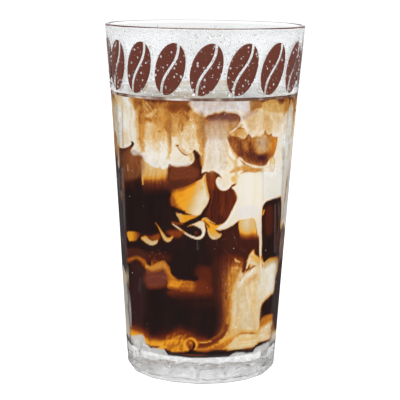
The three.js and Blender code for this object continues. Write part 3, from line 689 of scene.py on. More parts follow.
    # ---------------- tints that the depth alone doesn't give
    if "tints" not in skip:
        # painted highlight: a short grey vertical streak
        c.line([(197.6, 240), (197.9, 249)], [0.5, 0.8], 0.5, 0.9, tint=(122, 112, 112))
        c.brush([(198, 105), (214, 103), (230, 107), (246, 102)], [4, 5, 5, 4], [0.36, 0.0, 0.42, 0.05, 0.38, 0.0, 0.32], 11, 0.6, 0.1, 5, 40, tint=(202, 188, 188))
        c.brush([(205, 134), (208, 124), (217, 119), (229, 119), (238, 121)], [4, 5, 4, 3, 2], [0.3, 0.05, 0.34, 0.0, 0.30], 10, 0.5, 0.1, 4, 41, tint=(206, 186, 176))
        c.brush([(199, 112), (210, 109), (222, 108), (236, 108.6), (247, 108)], [2.2, 3, 3, 3, 2], [0.3, 0.0, 0.34, 0.0, 0.3], 9, 0.5, 0.1, 4, 45, tint=(170, 140, 138))
        c.fill([(194, 100), (206, 100), (214, 104), (204, 108), (196, 107)], 0.4, 2.4, 3, tint=(176, 140, 122))
        c.fill([(210, 115), (222, 112.6), (233, 113.6), (237, 117), (234, 120.4), (224, 119), (212, 119)], 0.5, 2.2, 3, tint=(106, 70, 68))
        c.fill([(243, 110), (249, 109), (253, 111), (248, 119), (243, 119)], 0.5, 2.4, 2, tint=(198, 178, 172))
        c.fill([(247, 114), (262, 111), (280, 113), (280, 131), (262, 132), (249, 130)], 0.5, 4.0, 4, tint=(219, 186, 136))
        # painted highlight: a white line along the lobes' undersides
        c.line([(137, 151), (146, 156.6), (155, 161.4), (163, 164.4), (172, 163.4), (182, 164.4), (192, 162)], [1.6, 2.6, 3.0, 3.0, 2.6, 2.2, 1.0], 0.5, 2.6, 1, tint=(241, 241, 239))
        c.fill([(272, 139), (277, 138), (276, 147), (273, 154), (270.6, 150)], 0.55, 1.4, tint=(214, 132, 36))
        # painted highlight: grey-beige in the hollow
        c.fill([(257, 138), (264, 138), (264, 149), (260, 151)], 0.42, 3.4, 1, tint=(196, 178, 160))
        c.spot(261, 157.4, 4.4, 3.0, 0.7, (74, 46, 58))
        c.line([(244, 170.6), (250, 169), (257, 168.6)], [0.4, 0.8, 0.4], 0.6, 0.6, 1, tint=(150, 84, 34))
        c.line([(231, 172), (238, 168.4), (246, 168), (256, 170), (263, 168)], [0.8, 2.2, 2.4, 2.1, 0.8], 0.8, 1.2, 1, tint=(208, 146, 66))
        c.line([(271, 158), (272.8, 163), (271, 168)], [0.7, 1.3, 0.7], 0.6, 1.0, tint=(238, 192, 98))
        c.fill([(133, 271), (144, 270), (144, 322), (134, 322)], 0.5, 3.0, 1, tint=(64, 40, 41))
        # painted highlight: a greyish sheen
        c.line([(140.4, 279), (139.6, 290)], [1.2, 1.6], 0.5, 1.5, tint=(78, 73, 75))
        c.fill([(122, 152), (141, 154), (141.6, 174), (131, 180), (123, 178)], 0.72, 3, 1, tint=(138, 82, 46))
        c.brush([(132, 156), (132, 166), (132.6, 178)], [7, 8, 7], [0.0, 0.34, 0.0, 0.28, 0.05, 0.36, 0.0, 0.25], 12, 0.7, 0.06, 3, 43, tint=(172, 112, 62))
        c.fill([(170, 168), (197, 168), (199, 177), (186, 186), (170, 191)], 0.55, 3, 2, tint=(128, 64, 36))
        c.brush([(171, 173), (180, 174), (190, 172), (198, 173)], [6, 6.5, 6, 5], [0.0, 0.3, 0.05, 0.36, 0.0, 0.28, 0.1], 12, 0.8, 0.12, 5, 46, tint=(150, 82, 46))
        c.fill([(169, 181), (178, 181), (188, 181), (178, 187), (169, 192)], 0.5, 2.6, 2, tint=(66, 34, 26))
        c.fill([(208, 126), (224, 124), (227, 150), (225, 168), (210, 168), (207, 146)], 0.40, 4, 3, tint=(214, 199, 183))
        c.fill([(207, 123), (226, 121), (227, 136), (208, 140)], 0.4, 4, 3, tint=(186, 150, 122))
        c.fill([(263, 168), (280, 166), (280.6, 194), (266, 198), (262.6, 190)], 0.60, 2, tint=(238, 237, 235))
        c.fill([(242, 221), (255, 220), (256, 230), (248, 234), (242, 231)], 0.4, 2.4, 1, tint=(222, 198, 160))
        c.line([(146, 267.4), (152, 267.8), (158, 266.2), (163, 265.8), (166, 268)], [1.0, 2.4, 2.8, 2.4, 1.0], 0.55, 1.4, 1, tint=(222, 164, 84))
        # painted shade: greyish-lilac in the milk stream
        c.fill([(240, 208), (256, 205), (258, 214), (246, 217), (238, 217)], 0.55, 3, 1, tint=(228, 228, 232))
        c.line([(262.2, 166), (262.6, 182), (262.8, 200)], 0.4, 0.55, 0.5, tint=(204, 198, 190))
        # painted highlight: a pale lilac-white diagonal
        c.line([(238, 287), (243, 280.6), (248, 275), (254, 269)], [1.4, 2.6, 2.4, 1.2], 0.5, 2.0, 2, tint=(236, 229, 224))
        c.fill([(260, 272), (268, 266), (272, 272), (266, 288), (258, 294)], 0.40, 3, tint=(232, 228, 212))
        # painted highlight: a grey line along a facet edge
        c.line([(275.4, 274), (274.4, 290), (274.8, 310)], 0.5, 0.5, 0.6, tint=(112, 92, 98))
        c.fill([(234, 291), (244, 285), (257, 281), (259, 300), (257.4, 328), (240, 329), (233.6, 320)], 0.45, 4, 4, tint=(225, 207, 168))
        c.brush([(240, 288), (241, 302), (245, 316), (246, 328)], [4, 6, 7, 7], [0.0, 0.35, 0.05, 0.30, 0.0, 0.28, 0.0], 9, 1.2, 0.06, 6, 42, tint=(196, 180, 150))
        c.line([(248, 284.6), (251.6, 280), (255.6, 275)], [0.5, 1.3, 0.6], 0.5, 1.4, 1, tint=(190, 138, 104))
        c.fill([(263.6, 266), (268, 260), (276, 257), (279, 257.4), (278.4, 262.4), (271, 263.4), (265.6, 268.4)], 0.6, 1.8, 1, tint=(196, 148, 70))
        c.fill([(261, 326), (262.6, 318.4), (268, 315), (272.6, 314.4), (272, 320), (266, 324)], 0.65, 1.2, tint=(200, 118, 30))
        c.line([(259, 330), (265, 325), (272, 320)], [0.6, 1.4, 0.8], 0.6, 1.0, tint=(226, 158, 66))
        # painted highlights: whiter undersides of the lobes
        for lobe in ([(131.4, 150), (133.6, 152.6), (137, 153.4)], [(148, 161), (154, 164.6), (158, 165.6)], [(162, 166.6), (165, 167)], [(218, 181), (219.6, 185.4), (223.6, 187.6)]):
            c.line(lobe, [0.8, 2.0, 0.8], 0.6, 1.6, tint=(238, 239, 243))
        grey, lilac, mauve = (226, 225, 221), (221, 215, 214), (112, 64, 58)
        c.fill([(191.6, 100), (249, 99.4), (249, 109), (244, 113), (236, 109.6), (222, 109.6), (208, 113), (199, 111)], 0.62, 1.6, 2, tint=lilac)
        c.fill([(204, 102), (226, 101.6), (224, 105), (206, 106.4)], 0.45, 1.8, 2, tint=(214, 188, 168))
        c.fill([(203, 117), (216, 113.6), (236, 113.6), (241, 119), (228, 120), (214, 118.6)], 0.42, 2.0, 2, tint=mauve)
        c.fill([(212, 119), (228, 119.6), (238, 123), (226, 126), (214, 126)], 0.35, 2.4, 3, tint=(196, 166, 150))
        c.line([(244, 118), (250, 113.4), (258, 111.2)], [1.0, 1.6, 0.6], 0.45, 1.4, 1, tint=(176, 130, 118))
        # painted highlight: a grey-beige vertical streak in the hollow
        c.line([(264, 136), (263.6, 142), (264, 149)], [1.0, 2.4, 1.2], 0.62, 2.2, tint=(196, 180, 164))
        c.line([(257.4, 138), (257, 146), (256, 152)], [0.8, 1.2, 0.6], 0.35, 1.4, tint=(186, 146, 104))
        c.line([(273.4, 138), (273.6, 147), (271.4, 154)], [0.8, 1.8, 1.0], 0.75, 1.2, tint=(196, 108, 26))
        c.spot(261.4, 157.4, 7, 4.4, 0.75, tint=(58, 22, 32))
        c.fill([(160, 110), (168, 111), (168, 122), (163, 126), (159, 118)], 0.40, 3, 3, tint=(206, 146, 56))
        c.fill([(145, 112), (166, 111), (167, 134), (156, 142), (146, 138)], 0.30, 4, 4, tint=(222, 160, 74))
        c.fill([(171, 99), (187, 99), (189, 107), (181, 111), (171, 110)], 0.5, 2.2, 3, tint=(156, 86, 34))
        c.line([(141, 122), (142.4, 130), (141.4, 140)], [1.2, 1.8, 1.0], 0.5, 1.2, 1, tint=(214, 148, 62))
        c.fill([(262, 102), (284, 101.6), (284, 110), (264, 111)], 0.5, 2.2, 3, tint=(210, 168, 92))
        c.fill([(249.8, 97), (261, 97), (262, 106.6), (253, 109.4), (249.8, 110)], 0.7, 0.7, 1, tint=(172, 116, 60), curve=False)
        c.line([(233, 112), (238, 113.2), (241, 117.4), (240.8, 121.8), (236, 127.8), (230, 132.4)], [0.3, 0.55, 0.6, 0.6, 0.5, 0.3], 0.8, 0.5, 0.6, tint=(234, 224, 216))
        # painted shade in one brown: darker seams along two facet edges and the shaded side of the fold
        shade = (142, 86, 46)
        c.line([(169, 112), (170.2, 121), (169.8, 132), (168.6, 145)], [0.6, 1.6, 1.5, 0.6], 0.45, 1.6, 2, tint=shade)
        c.line([(201.4, 112), (202.6, 122), (203, 133), (204.4, 147)], [1.6, 2.8, 2.4, 0.9], 0.5, 2.4, 2, tint=shade)
        c.fill([(229, 120.6), (237.4, 119.6), (238.6, 124), (233.4, 129.4), (229.6, 128)], 0.35, 2.4, 2, tint=shade)
        # left edge, with painted highlights: the grey, white and grey-pink lines along the glass edge and a facet edge
        c.fill([(110, 106), (121, 108), (121.6, 140), (117, 142), (112, 122)], 0.72, 1.4, tint=grey)
        c.line([(121.6, 104), (122.2, 124), (122.8, 146)], [0.4, 0.6, 0.6], 0.55, 0.6, tint=(168, 158, 148))
        c.line([(112.6, 104), (114.6, 126), (116.4, 142)], 0.5, 0.6, 0.7, tint=(200, 197, 194))
        c.fill([(115.6, 143), (119, 142.6), (119.4, 150), (118.4, 158), (117, 158)], 0.85, 0.7, tint=(212, 180, 132))
        c.line([(118.2, 151), (118.6, 158), (118.8, 164)], 0.5, 0.8, 0.5, tint=(232, 228, 222))
        c.line([(122.4, 168), (123.6, 200), (125, 232), (126.4, 256)], [0.9, 1.2, 1.1, 0.8], 0.55, 0.9, tint=(146, 132, 132))
        c.line([(127.2, 164), (127.6, 170)], [0.4, 0.7], 0.7, 0.7, tint=(222, 176, 140))
        c.fill([(124.6, 266), (128, 266), (128.6, 290), (126.4, 292)], 0.75, 0.9, tint=(226, 206, 168))
        # right edge: the grey-white strip and the grey and dark streaks are painted light and reflections of the glass
        # edge, the white spot a painted highlight, and the two lines in the dark oval painted highlights along facet
        # edges
        c.fill([(281.4, 130), (286, 112), (295, 108), (293, 160), (288, 226), (282, 228), (281.6, 180)], 0.70, 1.2, tint=(232, 230, 226))
        c.line([(283.4, 138), (282.8, 170), (282.2, 206), (281.2, 228)], [0.4, 0.7, 0.7, 0.5], 0.6, 0.7, tint=(196, 190, 186))
        c.line([(287.4, 176), (286.6, 200), (285.6, 216)], [0.3, 0.8, 1.0], 0.65, 0.8, tint=(178, 172, 168))
        c.line([(285.8, 216), (285.6, 221), (285, 224)], [0.5, 0.9, 0.4], 0.9, 0.5, tint=(36, 28, 28))
        c.line([(282.8, 228), (282, 240), (281, 262)], [0.8, 1.8, 1.8], 0.75, 0.8, tint=(118, 104, 100))
        c.line([(281.2, 230), (280.4, 246), (279.6, 258)], 0.35, 0.7, 0.4, tint=(206, 198, 192))
        c.spot(284.4, 225.4, 1.6, 2.0, 0.9, tint=(246, 240, 230))
        c.line([(275.4, 204), (275.2, 230), (274.8, 252)], 0.4, 0.55, 0.6, tint=(150, 140, 138))
        c.line([(278.6, 202), (278.4, 222), (277.6, 240)], 0.35, 0.5, 0.5, tint=(128, 118, 116))
        # faint pink-brown cloud and rising specks in the deep part
        c.fill([(145.4, 272), (156, 271), (166, 272), (166, 284), (158, 287), (147, 287)], 0.8, 3.4, 3, tint=(142, 74, 55))
        c.brush([(146, 279), (156, 278), (166, 279)], [7, 7, 7], [0.0, 0.4, 0.0, 0.35, 0.1, 0.42, 0.0], 14, 0.6, 0.2, 3, 44, tint=(100, 52, 42))
        c.fill([(128, 250), (142, 251), (143, 256), (129, 257)], 0.5, 2.0, 1, tint=(72, 38, 36))
        for x0, y0, q in [(152, 252.4, 0.6), (156, 254.4, 0.45), (160, 253.2, 0.6), (163.6, 256.6, 0.45), (154.4, 258, 0.4), (166, 252, 0.4), (158.4, 250.2, 0.4), (149.4, 256, 0.45)]:
            c.spot(x0, y0, 1.2, 1.0, q, tint=(206, 150, 90))
        for x0, y0, x1, y1 in [(216, 236, 217, 246), (221, 240, 228, 238), (232, 232, 237, 246), (240, 248, 246, 252), (224, 250, 231, 256)]:
            c.line([(x0, y0), ((x0 + x1) / 2 + 0.6, (y0 + y1) / 2), (x1, y1)], [0.2, 0.6, 0.2], 0.32, 0.8, 1, tint=(138, 82, 62))
    if "tints" not in skip:
        # painted light: a grey-white strip at the lower left, where the glass edge shows
        c.fill([(125, 292), (129.4, 292), (131.4, 326), (127, 330)], 0.8, 0.9, tint=(214, 211, 206))
        foot = [(122, 330), (128, 334), (133, 336.2), (138, 335), (142, 335), (145, 339), (147, 344.8), (150, 348.6), (158, 349.4), (165, 350.4), (168, 354.6), (172, 358.4), (180, 359.8),
                (226, 359.4), (231, 355.4), (236, 353), (243, 352.6), (247, 354.6), (252, 353.2), (254.6, 348.8), (260, 346.4), (266, 343.6), (270, 340), (272.4, 333), (276, 326), (285, 322), (286, 372), (120, 372)]
        c.fill(foot, 0.95, 0.8, 0.6, tint=(216, 215, 213), curve=False)
        # painted glints: light and dark marks along the facet edges of the foot
        for x0, y0, x1, y1, g in [(136, 340, 139, 352, 236), (142, 344, 146, 356, 190), (152, 353, 158, 356, 196), (262, 350, 260, 358, 182), (268, 346, 266, 356, 236), (247, 357, 254, 357, 190), (274, 336, 272, 350, 186), (128, 340, 131, 354, 198)]:
            c.line([(x0, y0), ((x0 + x1) / 2 + 0.6, (y0 + y1) / 2), (x1, y1)], [0.5, 1.1, 0.5], 0.7, 0.9, 2, tint=(g, g, g - 2))
        rng = np.random.default_rng(63)
        for k, (u, v, p, q) in enumerate(rng.random((84, 4))):      # crackle
            x0 = 122 + 46 * u if k % 2 else 232 + 51 * u
            y0 = np.interp(x0, [122, 128, 133, 142, 145, 147, 150, 165, 231, 236, 243, 247, 252, 254.6, 260, 266, 270, 272.4, 276, 285],
                           [331, 335, 337.4, 336.4, 340.4, 346.4, 350, 352, 356.6, 354.4, 354, 356, 354.6, 350.4, 347.8, 345, 341.4, 334.6, 327.6, 323.6]) + 1.4 + 11 * v
            dx, dy, g = 3.4 * (p - 0.5), 1.2 + 2.6 * q, (248, 176, 236, 196, 252)[k % 5]
            c.line([(x0, y0), (x0 + dx, y0 + 0.5 * dy), (x0 + 0.6 * dx, y0 + dy)], [0.4, 0.9, 0.3], 0.75, 0.5, 1, tint=(g, g, g))
    return c


RAMP = np.array([  # depth, then the colour seen (0..255): clear coffee in front of milk
    [0.00, 246, 245, 242], [0.06, 242, 237, 226], [0.12, 238, 227, 202], [0.20, 232, 209, 164], [0.30, 229, 190, 118], [0.38, 238, 180, 76],
    [0.45, 250, 173, 36], [0.52, 210, 127, 34], [0.60, 164, 84, 28], [0.68, 128, 55, 22], [0.76, 96, 39, 21], [0.84, 66, 29, 21], [0.92, 43, 23, 20], [1.00, 30, 20, 20]])
STIRRED = np.array([  # the same where milk is stirred into the coffee
    [0.00, 246, 245, 243], [0.06, 243, 239, 230], [0.12, 239, 230, 210], [0.20, 231, 211, 174], [0.30, 224, 189, 130], [0.40, 212, 160, 87],
    [0.50, 188, 124, 55], [0.60, 154, 88, 39], [0.70, 116, 60, 35], [0.80, 88, 42, 30], [0.90, 52, 28, 25], [1.00, 30, 20, 20]])


def colour(c):
    X, Y = c.X, c.Y
    high = np.where(X < 202, 1 - smooth(157, 163, Y), 1 - smooth(172, 180, Y))
    low = smooth(258, 268, Y) * smooth(210, 222, X) * (1 - 0.6 * smooth(332, 342, Y))
    pane = smooth(139, 142, X) * (1 - smooth(168, 172, X)) * (1 - smooth(186, 194, Y))
    stir = np.clip(np.maximum(high, 0.5 * pane) + 0.75 * low, 0, 1)
    d = c.d
    mid = smooth(0.03, 0.16, d) * (1 - smooth(0.62, 0.85, d))
    u, v = X / 6.5 + 1.9 * c.wx, Y / 17 + 1.9 * c.wy
    thread = np.exp(-(fbm(u, v, 6) / 0.05) ** 2) - np.exp(-(fbm(u + 5.3, v + 2.2, 2) / 0.05) ** 2)
    u, v = X / 12 + 2.6 * c.wx, Y / 14 + 2.6 * c.wy
    curl = np.exp(-(fbm(u, v, 9) / 0.03) ** 2) - np.exp(-(fbm(u + 3.1, v + 8.4, 1) / 0.03) ** 2)
    d = d + mid * (0.035 * fbm(X / 5, Y / 6, 5) + stir * (0.07 * curl + 0.075 * thread + 0.10 * fbm(X / 2.6, Y / 9, 8) + 0.10 * fbm(X / 7, Y / 9, 3)))
    d = d + 0.035 * fbm(X / 3.0, Y / 16, 4) * smooth(0.7, 0.9, c.d)
    d = np.clip(d, 0, 1)
    clear = np.stack([np.interp(d, RAMP[:, 0], RAMP[:, k]) for k in (1, 2, 3)], -1)
    mixed = np.stack([np.interp(d, STIRRED[:, 0], STIRRED[:, k]) for k in (1, 2, 3)], -1)
    rgb = clear * (1 - stir)[..., None] + mixed * stir[..., None]
    a = c.alpha[..., None]
    rgb = np.where(a > 1e-4, rgb * (1 - a) + c.over, rgb)
    fine = stir * c.alpha * smooth(60, 110, rgb[..., 1]) * (0.07 * curl + 0.06 * thread + 0.16 * fbm(X / 2.4, Y / 6, 8))
    return np.clip(rgb * (1 - fine[..., None] * np.array([0.7, 1.0, 1.3])), 0, 250)


# ------------------------------------------------------------------ drink
VIEW = dict(f=1522.0, dist=650.0, up=178.1, pitch=math.radians(9.08), roll=math.radians(0.71), side=1.26)


def to_picture(x, y, z):
    """Where a point (mm) stands in a 400 x 400 picture taken from the front."""
    v = VIEW
    px, py, pz = x + v["side"], y + v["dist"], z - v["up"]
    cp, sp = math.cos(v["pitch"]), math.sin(v["pitch"])
    depth = py * cp - pz * sp
    a, b = px / depth * v["f"], (py * sp + pz * cp) / depth * v["f"]
    cr, sr = math.cos(v["roll"]), math.sin(v["roll"])
    return 200 + a * cr + b * sr, 200 - (-a * sr + b * cr)


def seen_at(phi, z):
    """Front-view picture coordinates of a point on the inner wall, seen through the glass."""
    R = np.interp(z, OUTER[:, 0], OUTER[:, 1]) * 0.992
    ri = np.maximum(inner_wall(z), 18.0)
    t = np.linspace(-1, 1, 801)
    alpha = np.arcsin(t)
    inside = np.arcsin(t / 1.5)
    out_phi = np.empty_like(phi)
    ratio = R / ri
    # the ratio changes slowly with height, so one table for each of a few ratios is enough
    steps = np.linspace(ratio.min(), ratio.max() + 1e-6, 12)
    tabs = [np.interp(phi, alpha + np.arcsin(np.clip(t / 1.5 * q, -1, 1)) - inside, alpha) for q in steps]
    k = np.clip((ratio - steps[0]) / max(steps[1] - steps[0], 1e-9), 0, len(steps) - 1.001)
    i = k.astype(int)
    tabs = np.array(tabs)
    j = np.arange(len(phi))
    out_phi = tabs[i, j] * (1 - (k - i)) + tabs[i + 1, j] * (k - i)
    return to_picture(R * np.sin(out_phi), -R * np.cos(out_phi), z + 0.35)


def unrolled(phi, z, start, lift):
    """Picture coordinates for the sides and back: the drawing is rolled on at an even scale from the angle start."""
    turn = np.mod(np.degrees(phi) - start, 360)
    R = np.interp(z, OUTER[:, 0], OUTER[:, 1]) * 0.992
    wide = R * 2.37
    X = 112 + 1.52 * turn * (R / 36)
    X = np.where(turn > 180, 112 + 1.52 * (turn - 360), X)
    view = np.arcsin(np.clip((X - 203) / wide, -0.97, 0.97))
    _, Y = to_picture(R * np.sin(view), -R * np.cos(view), z + 0.35)
    inside = smooth(100, 130, Y) * (1 - smooth(312, 340, Y))
    X = X + 7 * fbm(X / 40 + lift, Y / 50, 1) * inside
    Y = Y + inside * (lift + 12 * fbm(X / 45, Y / 60 + lift, 5))
    return X, Y


def drink_colours(P):
    """Colour of every point of the drink's skin."""
    x, y, z = P.reshape(-1, 3).T
    phi = np.arctan2(x, -y)
    fx, fy = seen_at(phi, z)
    front = draw(fx, fy)
    deg = np.degrees(phi)
    first = draw(*unrolled(phi, z, 62.0, 9.0), skip=("hollow", "wing", "loop", "oval", "patch", "tints"))
    second = draw(*unrolled(phi, z, 181.0, -8.0), skip=("block", "band", "column", "pane", "tints"))
    ragged = 7 * fbm(z / 9, phi * 5, 4)
    w = smooth(116, 124, np.mod(deg - 62, 360) + ragged)
    side = smooth(69, 79, np.abs(deg) + ragged)
    d = first.d * (1 - w) + second.d * w
    front.d = front.d * (1 - side) + d * side
    front.alpha = front.alpha * (1 - side)
    front.over = front.over * (1 - side)[:, None]
    for name in ("X", "Y", "wx", "wy"):       # the grain follows whichever drawing shows
        round_it = np.where(w > 0.5, getattr(second, name), getattr(first, name))
        setattr(front, name, np.where(side > 0.5, round_it, getattr(front, name)))
    rgb = colour(front)
    # the two flanks, squeezed into a narrow strip at either edge from the front
    n1, n2 = fbm(phi * 9, z / 7, 3), fbm(phi * 24, z / 12, 6)
    n3 = fbm(phi * 5, z / 12, 9)

    def flank(sign, lo, hi, col, strength, start=70.0, end=104.0):
        nonlocal rgb
        a = sign * deg + 6 * n1
        zz = z + 9 * n3 + 1.5 * n1
        w = strength * smooth(start, start + 5, a) * (1 - smooth(end - 6, end + 6, a + 12 * n1)) * smooth(lo - 1.6, lo + 1.6, zz) * (1 - smooth(hi - 1.6, hi + 1.6, zz))
        tone = np.array(col, float) * (1 + 0.16 * n2 + 0.10 * n1)[:, None]
        rgb = rgb + (np.clip(tone, 18, 247) - rgb) * w[:, None]

    flank(-1, 43.5, 90, (44, 29, 31), 0.95)
    # painted highlights: grey-pink and reddish-brown streaks on the left flank
    flank(-1, 79, 87, (150, 128, 128), 0.55, 75, 84)
    flank(-1, 56, 62, (112, 68, 58), 0.75, 72, 90)
    flank(-1, 88, 96, (46, 30, 30), 0.85, 84, 92)
    # painted light: grey-white low on the left flank, where the glass edge shows from the front
    flank(-1, 15, 43, (233, 229, 221), 0.9, 72)
    flank(-1, 37, 43, (236, 214, 176), 0.8, 71, 88)
    # painted light and reflections: grey-white and grey streaks on the right flank, where the glass edge shows from the
    # front
    flank(1, 64, 106, (236, 233, 227), 0.85, 73)
    flank(1, 46, 64, (134, 110, 101), 0.8, 73)
    flank(1, 61, 64, (40, 26, 28), 0.8, 82, 96)
    flank(1, 20, 45, (56, 31, 33), 0.93, 72)
    # painted light: grey-white low on the right flank
    flank(1, 12, 19, (220, 217, 212), 0.85, 70)
    # the underside, seen only through the thick foot, is pale with light caught in the glass
    r = np.hypot(x, y)
    u = 1 - smooth(FLOOR + 0.25, FLOOR + 1.1, z + 0.5 * fbm(phi * 6, z * 0, 3))
    grey = 226 + 40 * fbm(x / 5, y / 5, 8) + 16 * fbm(phi * 9, r / 9, 2)
    pale = np.clip(np.stack([grey, grey - 1, grey - 2], -1), 120, 245)
    rgb = rgb * (1 - u[:, None]) + pale * u[:, None]
    # at the back, milk has settled in the corner above the foot
    v = smooth(96, 112, np.abs(deg)) * (1 - smooth(20, 25, z + 7 * fbm(phi * 3.2, z / 14, 7))) * (1 - u)
    cream = np.stack([238 + 20 * fbm(phi * 12, z / 3, 1), 227 + 30 * fbm(phi * 12, z / 3, 1), 204 + 44 * fbm(phi * 12, z / 3, 1)], -1)
    low = (1 - smooth(13, 18, z))[:, None]
    cream = cream + (np.array([238, 236, 232]) - cream) * low
    rgb = rgb * (1 - v[:, None]) + cream * v[:, None]
    # thin dark line where the surface meets the wall
    line = smooth(LEVEL - 0.9, LEVEL - 0.45, z) * np.clip(0.6 + 1.3 * fbm(phi * 6, 0 * z, 5), 0, 0.85)
    return rgb + (np.array([98, 56, 38]) - rgb) * line[:, None]


def drink_columns():
    front = np.radians(np.arange(-84, 84, 0.42))
    back = np.radians(np.arange(84, 276, 1.0))
    return np.concatenate([front, back])


def srgb_to_linear(c):
    c = np.clip(c, 0, 1)
    return np.where(c <= 0.04045, c / 12.92, ((c + 0.055) / 1.055) ** 2.4)


def drink_material():
    m, n, l = material("milk_and_coffee_with_painted_light")
    out = n.new("ShaderNodeOutputMaterial")
    b = n.new("ShaderNodeBsdfPrincipled")
    b.inputs["Roughness"].default_value = 0.35
    b.inputs["Specular IOR Level"].default_value = 0.05
    at = n.new("ShaderNodeAttribute")
    at.attribute_name = "paint"
    # the painted colours include painted highlights, painted shade and painted light of the glass edge
    l.new(at.outputs["Color"], b.inputs["Base Color"])
    l.new(b.outputs[0], out.inputs[0])
    return m


def paint_on(ob, rgb):
    me = ob.data
    a = me.color_attributes.new("paint", "FLOAT_COLOR", "POINT")
    full = np.ones((len(me.vertices), 4), np.float32)
    full[:len(rgb), :3] = srgb_to_linear(rgb / 255.0)
    full[len(rgb):, :3] = full[len(rgb) - 1, :3]
    a.data.foreach_set("color", full.ravel())


def make_drink():
    phi = drink_columns()
    into = 0.12
    split = 80.0
    z_low = np.concatenate([FLOOR + FILLET * (1 - np.sin(np.radians(np.linspace(90, 6, 16)))), np.arange(FLOOR + FILLET, split - 0.2, 0.46), [split - 0.02, split]])
    z_high = np.concatenate([[split, split + 0.02], np.arange(split + 0.3, LEVEL - 0.2, 0.31), [LEVEL - 0.05, LEVEL]])
    pieces = []
    for name, zs, node in (("drink_lower", z_low, "coffee"), ("drink_upper", z_high, "milk")):
        rings = []
        low = name == "drink_lower"
        if low:
            for r in (5.0, 11.0, 17.0):
                rings.append(polar(phi, np.full_like(phi, r), FLOOR - into))
        else:
            for r in (8.0, 18.0, 28.0):
                rings.append(polar(phi, np.full_like(phi, r), split + 0.4))
        for h in zs:
            rings.append(polar(phi, np.full_like(phi, float(inner_wall(h)) + into), max(h, FLOOR - into)))
        walls = len(rings)
        if low:
            for r in (28.0, 18.0, 8.0):
                rings.append(polar(phi, np.full_like(phi, r), split - 0.4))
            ends = (FLOOR - into, split - 0.4)
        else:
            edge = float(inner_wall(LEVEL))
            for r in (edge - 0.5, edge - 1.2, 30, 20, 10):
                rings.append(polar(phi, np.full_like(phi, r), LEVEL - 0.9))
            ends = (split + 0.4, LEVEL - 0.9)
        P = np.array(rings)
        ob = ring_mesh(name, P, (0, 0, ends[0]), (0, 0, ends[1]))
        paint_on(ob, drink_colours(P))
        ob.data.materials.append(DRINK)
        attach(ob, "root")
        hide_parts(node)
        pieces.append(ob)
    return pieces


DRINK = drink_material()


# ------------------------------------------------------------------ surface of the drink
def liquid_material():
    m, n, l = material("drink_surface")
    out = n.new("ShaderNodeOutputMaterial")
    b = n.new("ShaderNodeBsdfPrincipled")
    b.inputs["Roughness"].default_value = 0.06
    b.inputs["IOR"].default_value = 1.33
    at = n.new("ShaderNodeAttribute")
    at.attribute_name = "paint"
    l.new(at.outputs["Color"], b.inputs["Base Color"])
    noise = n.new("ShaderNodeTexNoise")
    noise.inputs["Scale"].default_value = 240
    noise.inputs["Detail"].default_value = 3
    bump = n.new("ShaderNodeBump")
    bump.inputs["Strength"].default_value = 0.12
    bump.inputs["Distance"].default_value = 0.0006
    l.new(noise.outputs[0], bump.inputs["Height"])
    l.new(bump.outputs[0], b.inputs["Normal"])
    l.new(b.outputs[0], out.inputs[0])
    return m


ICE = [  # lumps of ice at the surface: x, y, half sizes, turn, tilt, height of the top over the level
    (-14.5, -16.0, 11.0, 9.5, 9.5, 24, 5, 2.4), (11.5, -19.5, 10.0, 9.0, 9.0, -16, -4, 1.8), (21.5, 3.5, 9.5, 10.0, 9.5, 38, 5, 2.6),
    (-1.5, 3.0, 10.5, 10.5, 9.5, 8, -6, 2.9), (-24.0, 7.0, 8.5, 9.5, 9.0, 52, 5, 2.0), (9.5, 24.0, 9.5, 8.5, 9.0, -30, 5, 2.5), (-12.5, 25.0, 8.0, 8.0, 8.0, 15, -6, 1.7)]


def make_surface():
    m = 260
    phi = 2 * math.pi * np.arange(m) / m
    edge = float(inner_wall(LEVEL)) + 0.12
    radii = np.concatenate([np.linspace(2.0, edge - 3.0, 60), np.linspace(edge - 2.7, edge, 12)])
    top = []
    for r in radii:
        x, y = r * np.sin(phi), -r * np.cos(phi)
        z = LEVEL - 0.35 + 0.75 * math.exp(-(edge - r) / 0.9) + 0.10 * fbm(x / 6, y / 6, 6)
        for ix, iy, a, b, _, turn, _, _ in ICE:
            t = math.radians(turn)
            u, v = (x - ix) * math.cos(t) + (y - iy) * math.sin(t), -(x - ix) * math.sin(t) + (y - iy) * math.cos(t)
            gap = np.maximum(np.abs(u) - a, np.abs(v) - b)
            z = z + 0.45 * np.exp(-np.maximum(gap, 0) / 0.8)
        top.append(np.stack([x, y, z], -1))
    under = [polar(phi, np.full(m, r), LEVEL - 0.8) for r in (edge - 0.02, edge - 6, 20, 8)]
    P = np.array(top + under)
    ob = ring_mesh("drink_top", P[::-1], (0, 0, LEVEL - 0.8), (0, 0, LEVEL - 0.35))
    x, y = P[::-1].reshape(-1, 3)[:, 0], P[::-1].reshape(-1, 3)[:, 1]
    wx, wy = x + 7 * fbm(x / 13, y / 13, 1), y + 7 * fbm(x / 13 + 9, y / 13, 7)
    r, t = np.hypot(wx, wy), np.arctan2(wy, wx)
    d = 0.16 + 0.10 * np.sin(2.2 * t + r * 0.26) * smooth(3, 20, r) + 0.30 * fbm(wx / 8, wy / 8, 9)
    streak = np.exp(-(np.abs(np.sin(1.5 * t + r * 0.17 + 2.5 * fbm(wx / 16, wy / 16, 2))) / 0.22) ** 2)
    d = np.clip(d + 0.20 * streak * smooth(6, 30, r), 0.02, 0.75) * (1 - 0.7 * smooth(26, 36, np.hypot(x, y)))
    rgb = np.stack([np.interp(0.7 * d, STIRRED[:, 0], STIRRED[:, k]) for k in (1, 2, 3)], -1)
    line = smooth(edge - 0.2, edge - 0.03, np.hypot(x, y)) * np.clip(0.6 + 1.3 * fbm(np.arctan2(x, -y) * 6, 0 * x, 5), 0, 0.85)
    rgb = rgb + (np.array([98, 56, 38]) - rgb) * line[:, None]
    paint_on(ob, rgb)
    ob.data.materials.append(liquid_material())
    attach(ob, "root")
    return ob


